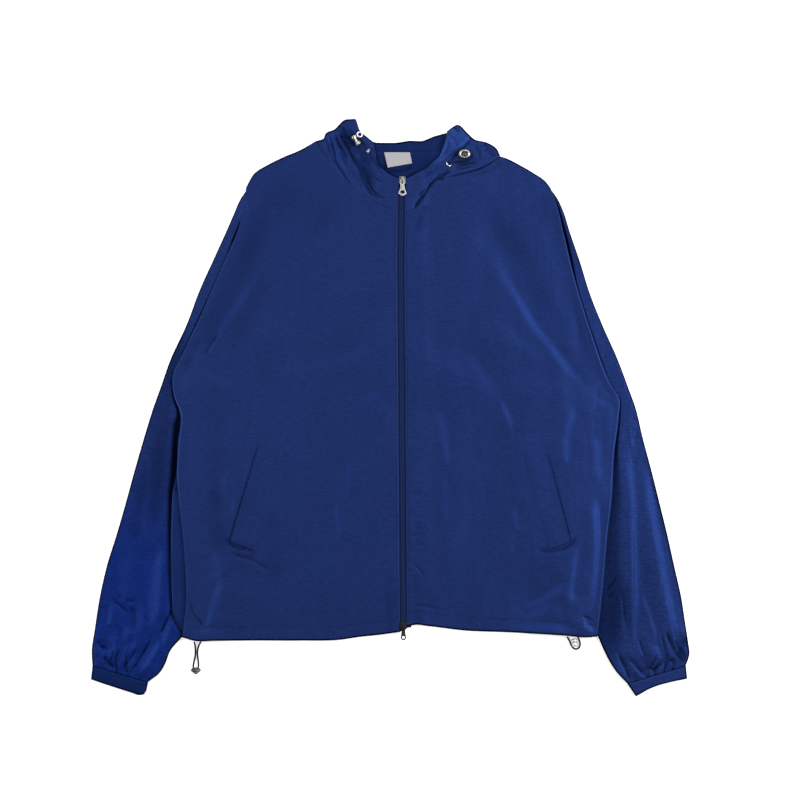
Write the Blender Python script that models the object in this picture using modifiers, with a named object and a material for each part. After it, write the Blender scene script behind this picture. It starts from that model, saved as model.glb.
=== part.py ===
"""A hooded windbreaker, laid flat on its back.

The jacket lies in the XY plane with its neck towards +Y and its front facing +Z. The origin
is on the floor under the middle of the back panel, on the line of the front zip. Tables are in
millimetres and are turned into metres where a mesh is made.

From the floor up the layers are: sleeves and hood bag, back panel, zip, fronts and hood sides.
Every cloth piece is one wall; a sleeve, a cuff and the hood bag are walls that go all round.
"""
import math

import bmesh
import bpy
import numpy as np
from mathutils import Matrix, Vector
from mathutils.bvhtree import BVHTree

MM = 0.001

# ---- driving dimensions, in millimetres -----------------------------------------------------
WALL = 1.2              # thickness of every cloth wall
GAP = 0.3               # space between two pieces that touch
FACET_ALLOWANCE = 0.15  # added to it where unlike facets lie over each other
TUBE_HEIGHT = 5.2       # a flattened sleeve, cuff or hood bag: two walls and the air between
LIFT = TUBE_HEIGHT + 0.4    # height of the back panel where it lies over one of those
RAMP = 40.0             # how far the back panel takes to come down from that height
EDGE_MARGIN = 8.0       # how far past its edge it stays at full height
PUFF = 2.5              # air between the back panel and the middle of a front
ZIP_PUFF = 3.4          # the same at the zip, where the slider's lower plate needs room
TAPE_HALF = 11.0        # from the zip's centre line to the outer edge of a tape
TAPE_WALL = 1.0
TAPE_END_BOTTOM = -307.6    # y; a slider's post is just past each end
TAPE_END_TOP = 319.6
TAPE_RISE = 2.2         # from the back panel's upper face to the tape's lower face
ZIP_OPENING = 5.2       # from the zip's centre line to the edge of a front
WELT_WALL = 1.0
WELT_CLEAR = 0.5        # from a front to the welt that lies on it
LABEL_WALL = 0.8
LABEL_CLEAR = 0.4
SEAM_STEP = 0.5         # plan distance between two pieces that meet edge to edge

# ---- outlines: x_mm, y_mm ------------------------------------------------------------------
LEFT_SIDE = [  # hem corner, up the side seam, round the armhole, to the shoulder
    (-307, -321), (-302, -270), (-305, -197), (-311, -138), (-314, -99), (-312, -48), (-309, -9),
    (-318, 15), (-321, 38), (-304, 80), (-283, 124), (-256, 195), (-242, 226), (-230, 255),
    (-220, 285), (-218, 307)]
LEFT_SHOULDER = [(-218, 307), (-206, 327), (-189, 338), (-167, 349), (-141, 360), (-120, 372)]
LEFT_NECK = [(-120, 372), (-108, 354), (-87, 321), (-62, 300), (-36, 286), (-6, 272)]
LEFT_HEM = [(-307, -321), (-290, -326), (-262, -326), (-199, -326), (-143, -326), (-87, -325),
            (-59, -321), (-25, -317), (-4, -314)]
RIGHT_SIDE = [
    (273, -320), (280, -257), (287, -177), (293, -124), (296, -66), (303, -10), (304, 10),
    (291, 33), (265, 108), (245, 169), (228, 246), (221, 284), (210, 306)]
RIGHT_SHOULDER = [(210, 306), (202, 316), (186, 327), (167, 338), (144, 349), (137, 351)]
RIGHT_NECK = [(137, 351), (109, 335), (74, 326), (53, 318), (41, 309), (31, 295), (18, 279),
              (6, 272)]
RIGHT_HEM = [(273, -320), (263, -321), (221, -318), (137, -314), (87, -312), (39, -306),
             (17, -304), (6, -307)]
BACK_LEFT_SIDE = [  # the back shows past the front all down this side
    (-308, -321), (-320, -288), (-321, -270), (-322, -158), (-320, -118), (-316, -95),
    (-313, -48), (-310, -9), (-318, 15), (-321, 38), (-304, 80), (-283, 124), (-256, 195),
    (-242, 226), (-230, 255), (-220, 285), (-218, 307)]
BACK_NECK = [(-120, 372), (-80, 362), (-42, 359), (8, 358), (59, 358), (102, 355), (137, 351)]
ZIP_LINE = [(2, -313), (1, -200), (0, -59), (-1, 80), (-2, 206), (-1, 290), (1, 324)]

LEFT_SLEEVE_ARMHOLE = [(-218, 303), (-214, 276), (-214, 234), (-219, 150), (-221, 66),
                       (-217, -31)]
LEFT_SLEEVE_OUTER = [
    (-218, 303), (-225, 293), (-235, 271), (-245, 248), (-265, 204), (-283, 164), (-302, 114),
    (-323, 69), (-339, 24), (-347, 2), (-361, -43), (-374, -88), (-386, -132), (-399, -177),
    (-413, -222), (-423, -267), (-430, -312), (-434, -340), (-433, -361)]
LEFT_SLEEVE_INNER = [
    (-217, -31), (-218, -99), (-228, -150), (-249, -206), (-273, -261), (-297, -307),
    (-307, -320), (-325, -342), (-331, -358), (-338, -370), (-355, -384)]
LEFT_CUFF_SEAM = [(-433, -361), (-355, -384)]
LEFT_CUFF_HEM = [(-435, -380), (-362, -402)]
RIGHT_SLEEVE_ARMHOLE = [(210, 303), (205, 276), (204, 234), (205, 150), (208, 66), (207, -31)]
RIGHT_SLEEVE_OUTER = [
    (210, 303), (217, 293), (227, 271), (234, 248), (249, 204), (263, 159), (281, 114),
    (301, 69), (318, 24), (326, 2), (337, -43), (349, -88), (360, -132), (371, -177),
    (381, -222), (391, -267), (396, -300), (400, -326), (402, -346), (397, -361)]
RIGHT_SLEEVE_INNER = [
    (207, -31), (210, -99), (218, -150), (234, -206), (252, -261), (269, -307), (279, -332),
    (288, -351), (300, -370), (315, -386)]
RIGHT_CUFF_SEAM = [(397, -361), (315, -386)]
RIGHT_CUFF_HEM = [(399, -379), (327, -404)]

HOOD_LEFT_TOP = [(-119, 372), (-105, 384), (-94, 390), (-81, 402), (-72, 403), (-65, 403),
                 (-61, 392), (-50, 379), (-39, 370)]
HOOD_LEFT_EDGE = [(-4, 321), (-17, 327), (-26, 334), (-33, 342), (-35, 353), (-39, 370)]
HOOD_RIGHT_TOP = [(137, 351), (133, 360), (119, 370), (101, 375), (92, 383), (78, 395),
                  (63, 386)]
HOOD_RIGHT_EDGE = [(7, 321), (22, 330), (39, 338), (50, 348), (55, 360), (63, 386)]
BAG_TOP = [(-112, 358), (-87, 378), (-70, 384), (-56, 377), (-36, 370), (-7, 370), (10, 373),
           (28, 372), (45, 379), (59, 383), (74, 385), (90, 372), (106, 364), (126, 354)]
BAG_CENTRE_X = 8.0
BAG_HALF_WIDTH = 127.0
BAG_SHOULDER_Y = 205.0  # the bag's sides are straight above this and round below it
BAG_BOTTOM_Y = 94.0
BAG_MOUTH_TUCK = 9.0    # how much narrower the bag is at its mouth, on each side
BAG_FOOT_ANGLE = 86.0   # the round foot ends just short of a half turn, in a narrow fold

LEFT_WELT = [(-242, -187), (-207, -201), (-165, -46), (-200, -48)]      # anticlockwise
RIGHT_WELT = [(206, -200), (237, -187), (203, -57), (168, -62)]
NECK_LABEL = [(-20, 335), (14, 341), (11, 356.5), (-25, 356.5)]

# ---- large soft folds: x0, y0, x1, y1, half width, height, all in millimetres ---------------
FRONT_LEFT_FOLDS = [
    (-250, 210, -190, 90, 26, 0.9), (-60, -250, -90, -60, 22, 0.7), (-130, 60, -60, 200, 30, 0.6),
    (-280, -300, -262, -200, 14, 0.6)]
FRONT_RIGHT_FOLDS = [
    (235, 190, 150, 40, 28, 0.9), (60, -280, 96, -80, 20, 0.8), (120, -290, 150, -150, 20, 0.6),
    (254, -312, 262, -262, 12, 0.9)]
HOOD_LEFT_FOLDS = [
    (-46, 306, -78, 352, 7, 3.0), (-72, 312, -92, 352, 7, 2.6), (-84, 352, -92, 384, 8, 2.6),
    (-56, 366, -72, 392, 8, 2.0)]
HOOD_RIGHT_FOLDS = [
    (36, 304, 66, 332, 6, 2.4), (70, 332, 122, 350, 7, 2.6), (66, 356, 78, 384, 9, 2.4),
    (98, 366, 120, 358, 8, 1.8)]
SLEEVE_LEFT_FOLDS = [
    (-318, 70, -372, -140, 22, 0.9), (-380, -150, -404, -330, 12, 1.0),
    (-372, -300, -392, -352, 10, 0.9), (-345, -220, -352, -330, 12, 0.8)]
SLEEVE_RIGHT_FOLDS = [
    (306, 50, 344, -130, 20, 0.9), (352, -150, 378, -320, 12, 1.0),
    (330, -290, 348, -352, 10, 0.9), (382, -300, 390, -345, 8, 0.9)]

# ---- gathers: waves across the upper wall where a sleeve is drawn into its cuff --------------
CUFF_GATHERS = 7
GATHER_HEIGHT = 1.0
GATHER_REACH = 0.13     # share of the sleeve's length that they run up

# ---- mesh density: columns, rows ------------------------------------------------------------
FRONT_CELLS = (14, 20)
BACK_CELLS = (20, 16)
HOOD_CELLS = (14, 10)
SLEEVE_RINGS = 14
CUFF_RINGS = 2
TUBE_UPPER = 29         # points across a tube's upper wall: four to a gather
TUBE_LOWER = 8
BAG_ACROSS = 14
BAG_RINGS = 9
TAPE_ROWS = 26
CLEAR_SAMPLES = 8       # points across a facet where its clearance is measured
CLEAR_PASSES = 24
NOTHING_BELOW = -100.0  # the height of a place that has nothing under it
RING_AROUND = 14
RING_SECTION = 6

# ---- hard pieces ----------------------------------------------------------------------------
SLIDER_WIDTH = 9.2
SLIDER_LENGTH = 10.4
SLIDER_PLATE = 1.4
SLIDER_LOWER_PLATE = 1.3
SLIDER_OVER_TAPE = 0.45     # from a tape to the upper plate
SLIDER_OVER_BACK = 0.5      # from the back panel to the lower plate
SLIDER_CORNER = 2.0
POST_WIDTH = 3.0
POST_LENGTH = 1.8
CROWN_WIDTH = 1.9       # the bridge that the pull tab hangs on
CROWN_HALF_LENGTH = 3.5
CROWN_HEIGHT = 3.6
CROWN_WALL = 1.0
PULL_PIVOT_HEIGHT = 1.35    # above the slider's upper plate
PULL_THICK = 1.2
PULL_BAR = 0.6          # half the length of the bar that turns under the crown
PULL_EYE = 5.3          # from the hinge to the far end of the eye round the crown
PULL_PLAY = 0.45        # beside the crown, inside the eye
TOP_SLIDER_Y = 317.0
BOTTOM_SLIDER_Y = -305.0
CORD_RADIUS = 0.9
CORD_SIDES = 2          # bevel resolution
EYELET_RADIUS = 2.6
EYELET_WIRE = 0.8

NAVY = (0.013, 0.036, 0.135)
DEEP_NAVY = (0.008, 0.018, 0.06)
SILVER = (0.62, 0.62, 0.60)
BRASS = (0.45, 0.42, 0.28)
BLACK = (0.012, 0.012, 0.014)
PALE_GREY = (0.62, 0.62, 0.65)


# ---- curves and surfaces in plan ------------------------------------------------------------
def smooth(value):
    """A step from 0 to 1 with level ends, for value from 0 to 1."""
    value = np.clip(value, 0.0, 1.0)
    return value * value * (3.0 - 2.0 * value)


def resample(points, count):
    """count + 1 points at equal distances along a smooth curve through the given points."""
    points = np.asarray(points, float)
    if len(points) > 2:
        chord = np.concatenate(([0.0], np.cumsum(np.linalg.norm(np.diff(points, axis=0), axis=1))))
        slope = np.gradient(points, chord, axis=0)
        fine = np.linspace(0.0, chord[-1], 40 * len(points))
        span = np.clip(np.searchsorted(chord, fine, side="right") - 1, 0, len(points) - 2)
        length = (chord[span + 1] - chord[span])[:, None]
        t = ((fine - chord[span])[:, None]) / length
        start, end = points[span], points[span + 1]
        points = ((2 * t**3 - 3 * t**2 + 1) * start + (t**3 - 2 * t**2 + t) * length * slope[span]
                  + (3 * t**2 - 2 * t**3) * end + (t**3 - t**2) * length * slope[span + 1])
    run = np.concatenate(([0.0], np.cumsum(np.linalg.norm(np.diff(points, axis=0), axis=1))))
    places = np.linspace(0.0, run[-1], count + 1)
    return np.column_stack([np.interp(places, run, points[:, k]) for k in range(points.shape[1])])


def join(first, second):
    """Two sampled curves end to end, their shared point once."""
    return np.vstack((first, second[1:]))


def patch(south, north, west, east):
    """The surface spanned by four edges (a Coons patch): rows run from south to north."""
    u = np.linspace(0.0, 1.0, len(south))[None, :, None]
    v = np.linspace(0.0, 1.0, len(west))[:, None, None]
    across = (1 - u) * west[:, None, :] + u * east[:, None, :]
    along = (1 - v) * south[None, :, :] + v * north[None, :, :]
    corners = ((1 - u) * (1 - v) * south[0] + u * (1 - v) * south[-1]
               + (1 - u) * v * north[0] + u * v * north[-1])
    return across + along - corners


def zip_x(y):
    """The zip's centre line."""
    table = np.array(ZIP_LINE, float)
    return np.interp(y, table[:, 1], table[:, 0])


def beside_zip(y_values, side):
    """Points along the opened edge of a front, on the side -1 or +1 of the zip."""
    y_values = np.asarray(y_values, float)
    return np.column_stack((zip_x(y_values) + side * ZIP_OPENING, y_values))


def back_level(x, y):
    """Height of the back panel's underside: 0 on the floor, LIFT over a sleeve or the hood."""
    left = np.array(LEFT_SLEEVE_INNER[::-1] + LEFT_SLEEVE_ARMHOLE[::-1][1:], float)
    right = np.array(RIGHT_SLEEVE_INNER[::-1] + RIGHT_SLEEVE_ARMHOLE[::-1][1:], float)
    to_left = x - np.interp(y, left[:, 1], left[:, 0])
    to_right = np.interp(y, right[:, 1], right[:, 0]) - x
    across = (x - BAG_CENTRE_X) / BAG_HALF_WIDTH
    down = np.minimum(y - BAG_SHOULDER_Y, 0.0) / (BAG_SHOULDER_Y - BAG_BOTTOM_Y)
    to_bag = (np.hypot(across, down) - 1.0) * BAG_HALF_WIDTH
    clear = 1.0
    for distance in (to_left, to_right, to_bag):
        clear = clear * (1.0 - smooth((RAMP + EDGE_MARGIN - distance) / RAMP))
    return LIFT * (1.0 - clear)


def fold_relief(folds, x, y):
    """Soft ridges, each along a line, with a bell-shaped section that fades at both ends."""
    relief = np.zeros_like(x)
    for x0, y0, x1, y1, width, height in folds:
        run = np.array((x1 - x0, y1 - y0), float)
        length = np.hypot(*run)
        run /= length
        along = ((x - x0) * run[0] + (y - y0) * run[1]) / length
        aside = (x - x0) * run[1] - (y - y0) * run[0]
        fade = smooth((along + 0.15) / 0.35) * smooth((1.15 - along) / 0.35)
        relief += height * fade * np.exp(-(aside / width) ** 2)
    return relief


# ---- objects --------------------------------------------------------------------------------
def make_material(name, colour, roughness, metallic=0.0):
    material = bpy.data.materials.new(name)
    material.use_nodes = True
    shader = material.node_tree.nodes["Principled BSDF"]
    shader.inputs["Base Color"].default_value = (*colour, 1.0)
    shader.inputs["Roughness"].default_value = roughness
    shader.inputs["Metallic"].default_value = metallic
    return material


def new_object(name, data, material, collection):
    made = bpy.data.objects.new(name, data)
    collection.objects.link(made)
    data.materials.append(material)
    return made


def grid_mesh(name, points, closed_across=False):
    """A mesh from an array of points, rows by columns by xyz in millimetres."""
    rows, columns = points.shape[:2]
    index = np.arange(rows * columns).reshape(rows, columns)
    if closed_across:
        index = np.column_stack((index, index[:, 0]))
    here, right, above, corner = index[:-1, :-1], index[:-1, 1:], index[1:, :-1], index[1:, 1:]
    faces = np.concatenate((np.stack((here, right, corner), axis=-1).reshape(-1, 3),
                            np.stack((here, corner, above), axis=-1).reshape(-1, 3)))
    mesh = bpy.data.meshes.new(name)
    mesh.from_pydata((points.reshape(-1, 3) * MM).tolist(), [], faces.tolist())
    mesh.shade_smooth()
    return mesh


def solidify(made, thickness, offset):
    wall = made.modifiers.new("Wall", "SOLIDIFY")
    wall.thickness = thickness * MM
    wall.offset = offset
    wall.use_even_offset = True
    return made


def add_sheet(name, plan, height, material, collection, wall=WALL, under=()):
    """A flat-laid wall: plan is its patch, height its underside; it grows upwards.

    It is kept clear of the pieces that lie under it."""
    if under:
        height = raise_clear(plan, height, surface_under(*under), GAP + FACET_ALLOWANCE)
    points = np.dstack((plan, height))
    if np.cross(plan[0, 1] - plan[0, 0], plan[1, 0] - plan[0, 0]) < 0:
        points = points[:, ::-1]
    return solidify(new_object(name, grid_mesh(name, points), material, collection), wall, 1.0)


def tube_section(width, upper, lower):
    """One ring of a flattened tube: distance from the outer edge and height, both in mm.

    It goes over the upper wall, round the inner edge, back along the floor and up round the
    outer edge. Both edges are half circles."""
    radius = TUBE_HEIGHT / 2
    turn = np.radians((45.0, 0.0, -45.0))
    distance = np.concatenate((np.linspace(radius, width - radius, upper),
                               width - radius + radius * np.cos(turn),
                               np.linspace(width - radius, radius, lower),
                               radius - radius * np.cos(turn[::-1])))
    height = np.concatenate((np.full(upper, TUBE_HEIGHT), radius + radius * np.sin(turn),
                             np.zeros(lower), radius + radius * np.sin(turn[::-1])))
    return distance / width, height


def add_tube(name, outer, inner, start, end, relief, rings, material, collection):
    """A flattened tube between an outer and an inner edge, with rings from start to end.

    relief gives the extra height of the upper wall from the place across, the place along and
    the plan point."""
    fine = 60
    plan = patch(resample(start, fine), resample(end, fine), resample(outer, rings),
                 resample(inner, rings))
    rows = []
    for row, line in enumerate(plan):
        width = np.linalg.norm(np.diff(line, axis=0), axis=1).sum()
        across, height = tube_section(width, TUBE_UPPER, TUBE_LOWER)
        where = np.column_stack([np.interp(across, np.linspace(0, 1, fine + 1), line[:, k])
                                 for k in range(2)])
        top = smooth((height - TUBE_HEIGHT / 2) / (TUBE_HEIGHT / 2))
        height = height + top * relief(across, row / rings, where[:, 0], where[:, 1])
        rows.append(np.column_stack((where, height)))
    points = np.array(rows)
    step_across = points[0, 1] - points[0, 0]
    step_along = points[1, 0] - points[0, 0]
    if step_across[0] * step_along[1] - step_across[1] * step_along[0] < 0:
        points = points[:, ::-1]
    mesh = grid_mesh(name, points, closed_across=True)
    return solidify(new_object(name, mesh, material, collection), WALL, -1.0)


def surface_under(*names):
    """The faces of finished pieces, to set another one on them."""
    bpy.context.view_layer.update()
    points, faces = [], []
    for name in names:
        made = bpy.data.objects[name]
        shape = made.evaluated_get(bpy.context.evaluated_depsgraph_get())
        mesh = shape.to_mesh()
        faces += [tuple(len(points) + k for k in p.vertices) for p in mesh.polygons]
        points += [made.matrix_world @ v.co for v in mesh.vertices]
        shape.to_mesh_clear()
    return BVHTree.FromPolygons(points, faces)


def height_on(tree, x, y, missing=0.0):
    """Height in mm of the top of a piece over a plan point."""
    hit = tree.ray_cast(Vector((x * MM, y * MM, 0.2)), Vector((0, 0, -1)))
    return hit[0].z / MM if hit[0] else missing


def facet_shares(s, t):
    """How much each corner of a facet counts at (s, t), for either way of cutting it in two."""
    if s >= t:
        first = (1 - s, s - t, 0.0, t)
    else:
        first = (1 - t, 0.0, t - s, s)
    if s + t <= 1:
        second = (1 - s - t, s, t, 0.0)
    else:
        second = (0.0, 1 - t, 1 - s, s + t - 1)
    return first, second


def raise_clear(plan, height, tree, clearance):
    """Lift a grid's corners until no facet comes closer than clearance to what is below.

    Each pass takes every cell's worst point and shares its lack out among the corners by how
    much each one counts there, which is the smallest lift that mends it."""
    height = height.copy()
    steps = np.linspace(0.0, 1.0, CLEAR_SAMPLES)
    shares = np.array([share for s in steps for t in steps for share in facet_shares(s, t)])
    cells = []
    for row in range(plan.shape[0] - 1):
        for column in range(plan.shape[1] - 1):
            corners = ((row, row, row + 1, row + 1), (column, column + 1, column, column + 1))
            floors = np.array([height_on(tree, x, y, missing=NOTHING_BELOW)
                               for x, y in shares @ plan[corners]])
            if floors.max() > NOTHING_BELOW:
                cells.append((corners, floors + clearance))
    for _ in range(CLEAR_PASSES):
        for corners, floors in cells:
            lack = floors - shares @ height[corners]
            worst = lack.argmax()
            if lack[worst] > 0.0:
                share = shares[worst]
                height[corners] += share * lack[worst] / (share @ share)
    return height


# ---- cloth ----------------------------------------------------------------------------------
def front_puff(u, v):
    """Air under a front: none along the side and shoulder, most in the middle and at the zip."""
    neck = smooth((u - 0.45) / 0.2)
    side = smooth(u / 0.22)
    hem = 0.35 + 0.65 * smooth(v / 0.12)
    top = 1.0 - (1.0 - (0.1 + 0.65 * neck)) * smooth((v - 0.8) / 0.2)
    at_zip = smooth((u - 0.84) / 0.08)
    return PUFF * side * hem * top * (1 - at_zip) + ZIP_PUFF * at_zip


def add_front(name, side_edge, shoulder, neck, hem, side, folds, material, collection):
    columns, rows = FRONT_CELLS
    hem_line = resample(hem, columns)
    top = join(resample(shoulder, columns // 2), resample(neck, columns // 2))
    opened = beside_zip(np.linspace(hem_line[-1][1], top[-1][1], rows + 1), side)
    hem_line[-1], top[-1] = opened[0], opened[-1]
    plan = patch(hem_line, top, resample(side_edge, rows), opened)
    u = np.linspace(0, 1, columns + 1)[None, :] * np.ones((rows + 1, 1))
    v = np.linspace(0, 1, rows + 1)[:, None] * np.ones((1, columns + 1))
    x, y = plan[..., 0], plan[..., 1]
    inside = smooth(u / 0.15) * smooth((0.9 - u) / 0.15) * smooth((1 - v) / 0.1)
    height = (back_level(x, y) + WALL + GAP + front_puff(u, v)
              + inside * fold_relief(folds, x, y))
    return add_sheet(name, plan, height, material, collection,
                     under=("back", "zip_tape_left", "zip_tape_right"))


def add_back(material, collection):
    columns, rows = BACK_CELLS
    shoulder_columns = columns // 4
    top = join(join(resample(LEFT_SHOULDER, shoulder_columns),
                    resample(BACK_NECK, columns - 2 * shoulder_columns)),
               resample(RIGHT_SHOULDER[::-1], shoulder_columns))
    hem = join(resample(LEFT_HEM[:-1] + [(0, -313)], columns // 2),
               resample([(0, -313)] + RIGHT_HEM[-2::-1], columns // 2))
    left = resample(BACK_LEFT_SIDE, rows)
    right = resample(RIGHT_SIDE, rows)
    hem[0], hem[-1] = left[0], right[0]
    plan = patch(hem, top, left, right)
    return add_sheet("back", plan, back_level(plan[..., 0], plan[..., 1]), material, collection,
                     under=("sleeve_left", "sleeve_right", "hood_bag"))


def hood_height(u, v, x, y, folds):
    """Underside of a hood side: over the zip tape at u = 0, down to the bag round the top."""
    puff = 1.9 + 0.5 * np.sin(math.pi * v)
    at_zip = 1 - smooth(u / 0.16)
    puff = puff * (1 - at_zip) + ZIP_PUFF * at_zip
    drop = smooth((u - 0.82) / 0.18) * smooth((v - 0.12) / 0.25)
    inside = smooth(u / 0.2) * smooth((1 - u) / 0.12) * smooth(v / 0.1) * smooth((1 - v) / 0.12)
    level = back_level(x, y) + WALL + GAP + puff + inside * fold_relief(folds, x, y)
    return level * (1 - drop) + (TUBE_HEIGHT + GAP + 0.4) * drop


def add_hood_side(name, neck, top, edge, side, folds, material, collection):
    columns, rows = HOOD_CELLS
    neck_knots = resample(neck, FRONT_CELLS[0] // 2)[::-1]
    seam = np.column_stack([np.interp(np.linspace(0, 1, columns + 1),
                                      np.linspace(0, 1, len(neck_knots)), neck_knots[:, k])
                            for k in range(2)])
    seam = seam + np.array((-side, 1.0)) * SEAM_STEP * 1.4
    opened = beside_zip(np.linspace(seam[0][1], edge[0][1], rows + 1), side)
    seam[0] = opened[0]
    edge_line = resample(edge, columns)
    edge_line[0] = opened[-1]
    top_line = resample([tuple(seam[-1])] + top[1:], rows)
    edge_line[-1] = top_line[-1]
    plan = patch(seam, edge_line, opened, top_line)
    u = np.linspace(0, 1, columns + 1)[None, :] * np.ones((rows + 1, 1))
    v = np.linspace(0, 1, rows + 1)[:, None] * np.ones((1, columns + 1))
    height = hood_height(u, v, plan[..., 0], plan[..., 1], folds)
    return add_sheet(name, plan, height, material, collection,
                     under=("hood_bag", "back", "zip_tape_left", "zip_tape_right"))


def bag_ring(share):
    """Half width and plan of one ring of the hood bag, share 0 at the mouth and 1 at the foot."""
    if share <= 0.5:
        half = BAG_HALF_WIDTH - BAG_MOUTH_TUCK * (1 - 2 * share)
        down, foot = 2 * share, 0.0
    else:
        angle = (2 * share - 1) * math.radians(BAG_FOOT_ANGLE)
        half = BAG_HALF_WIDTH * math.cos(angle)
        down, foot = 1.0, math.sin(angle)
    across, height = tube_section(2 * half, BAG_ACROSS, BAG_ACROSS)
    x = BAG_CENTRE_X + half * (2 * across - 1)
    top = np.array(BAG_TOP, float)
    mouth = np.interp(x, top[:, 0], top[:, 1])
    y = mouth + (BAG_SHOULDER_Y - mouth) * down - (BAG_SHOULDER_Y - BAG_BOTTOM_Y) * foot
    return np.column_stack((x, y, height))


def add_hood_bag(material, collection):
    """The rest of the hood, pushed back: a flat pouch under the back panel, its mouth up."""
    points = np.array([bag_ring(k / BAG_RINGS) for k in range(BAG_RINGS + 1)])[:, ::-1]
    mesh = grid_mesh("hood_bag", points, closed_across=True)
    work = bmesh.new()
    work.from_mesh(mesh)
    work.verts.ensure_lookup_table()
    foot = work.verts[-points.shape[1]:]
    work.faces.new(foot)
    bmesh.ops.recalc_face_normals(work, faces=work.faces)
    work.to_mesh(mesh)
    work.free()
    return solidify(new_object("hood_bag", mesh, material, collection), WALL, -1.0)


def add_patch_piece(name, corners, under, clear, wall, cells, material, collection):
    """A small flat piece on a panel, made from the panel's own points moved out."""
    south = resample([corners[0], corners[1]], cells[0])
    north = resample([corners[3], corners[2]], cells[0])
    west = resample([corners[0], corners[3]], cells[1])
    east = resample([corners[1], corners[2]], cells[1])
    plan = patch(south, north, west, east)
    tree = surface_under(under)
    height = np.array([[height_on(tree, *point) for point in row] for row in plan])
    return add_sheet(name, plan, height + clear, material, collection, wall, under=(under,))


def add_zip_tape(name, side, material, collection):
    y = np.linspace(TAPE_END_BOTTOM, TAPE_END_TOP, TAPE_ROWS + 1)
    inner = np.column_stack((zip_x(y) + side * 0.3, y))
    outer = np.column_stack((zip_x(y) + side * TAPE_HALF, y))
    plan = np.stack((inner, outer), axis=1)
    height = back_level(plan[..., 0], plan[..., 1]) + WALL + TAPE_RISE
    return add_sheet(name, plan, height, material, collection, TAPE_WALL, under=("back",))


# ---- hard pieces ----------------------------------------------------------------------------
def box_mesh(low, high):
    """A box between two corners in millimetres, as a bmesh."""
    work = bmesh.new()
    bmesh.ops.create_cube(work, size=1.0)
    low, high = Vector(low), Vector(high)
    for vertex in work.verts:
        vertex.co = Vector([(low[k] + high[k]) / 2 + vertex.co[k] * (high[k] - low[k])
                            for k in range(3)]) * MM
    return work


def add_cutter_box(name, low, high, tools, bevel=0.0):
    mesh = bpy.data.meshes.new(name)
    work = box_mesh(low, high)
    if bevel:
        upright = [e for e in work.edges if abs((e.verts[0].co - e.verts[1].co).z) > 0.5e-3]
        bmesh.ops.bevel(work, geom=upright, offset=bevel * MM, segments=2, profile=0.5,
                        affect="EDGES")
    work.to_mesh(mesh)
    work.free()
    made = bpy.data.objects.new(name, mesh)
    tools.objects.link(made)
    made.hide_render = True
    made.display_type = "WIRE"
    return made


def flat_curve(name, outlines, thickness):
    """A flat shape with holes: 2D outlines in millimetres, filled and given a thickness."""
    curve = bpy.data.curves.new(name, "CURVE")
    curve.dimensions = "2D"
    curve.fill_mode = "BOTH"
    curve.extrude = thickness / 2 * MM
    for outline in outlines:
        spline = curve.splines.new("POLY")
        spline.points.add(len(outline) - 1)
        for point, (x, y) in zip(spline.points, outline):
            point.co = (x * MM, y * MM, 0.0, 1.0)
        spline.use_cyclic_u = True
    return curve


def arc(centre_x, centre_y, radius, start, end, steps):
    """Points on an arc between two angles in degrees, both ends included."""
    angles = np.radians(np.linspace(start, end, steps + 1))
    return [(centre_x + radius * math.cos(a), centre_y + radius * math.sin(a)) for a in angles]


def mesh_from_curve(name, curve, matrix):
    """A closed mesh from a filled curve, placed by a matrix."""
    holder = bpy.data.objects.new(name + "_outline", curve)
    bpy.context.scene.collection.objects.link(holder)
    bpy.context.view_layer.update()
    shape = holder.evaluated_get(bpy.context.evaluated_depsgraph_get())
    mesh = bpy.data.meshes.new_from_object(shape)
    mesh.transform(matrix)
    work = bmesh.new()
    work.from_mesh(mesh)
    bmesh.ops.remove_doubles(work, verts=work.verts, dist=0.00001)
    bmesh.ops.recalc_face_normals(work, faces=work.faces)
    work.to_mesh(mesh)
    work.free()
    bpy.data.objects.remove(holder)
    return mesh


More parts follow.
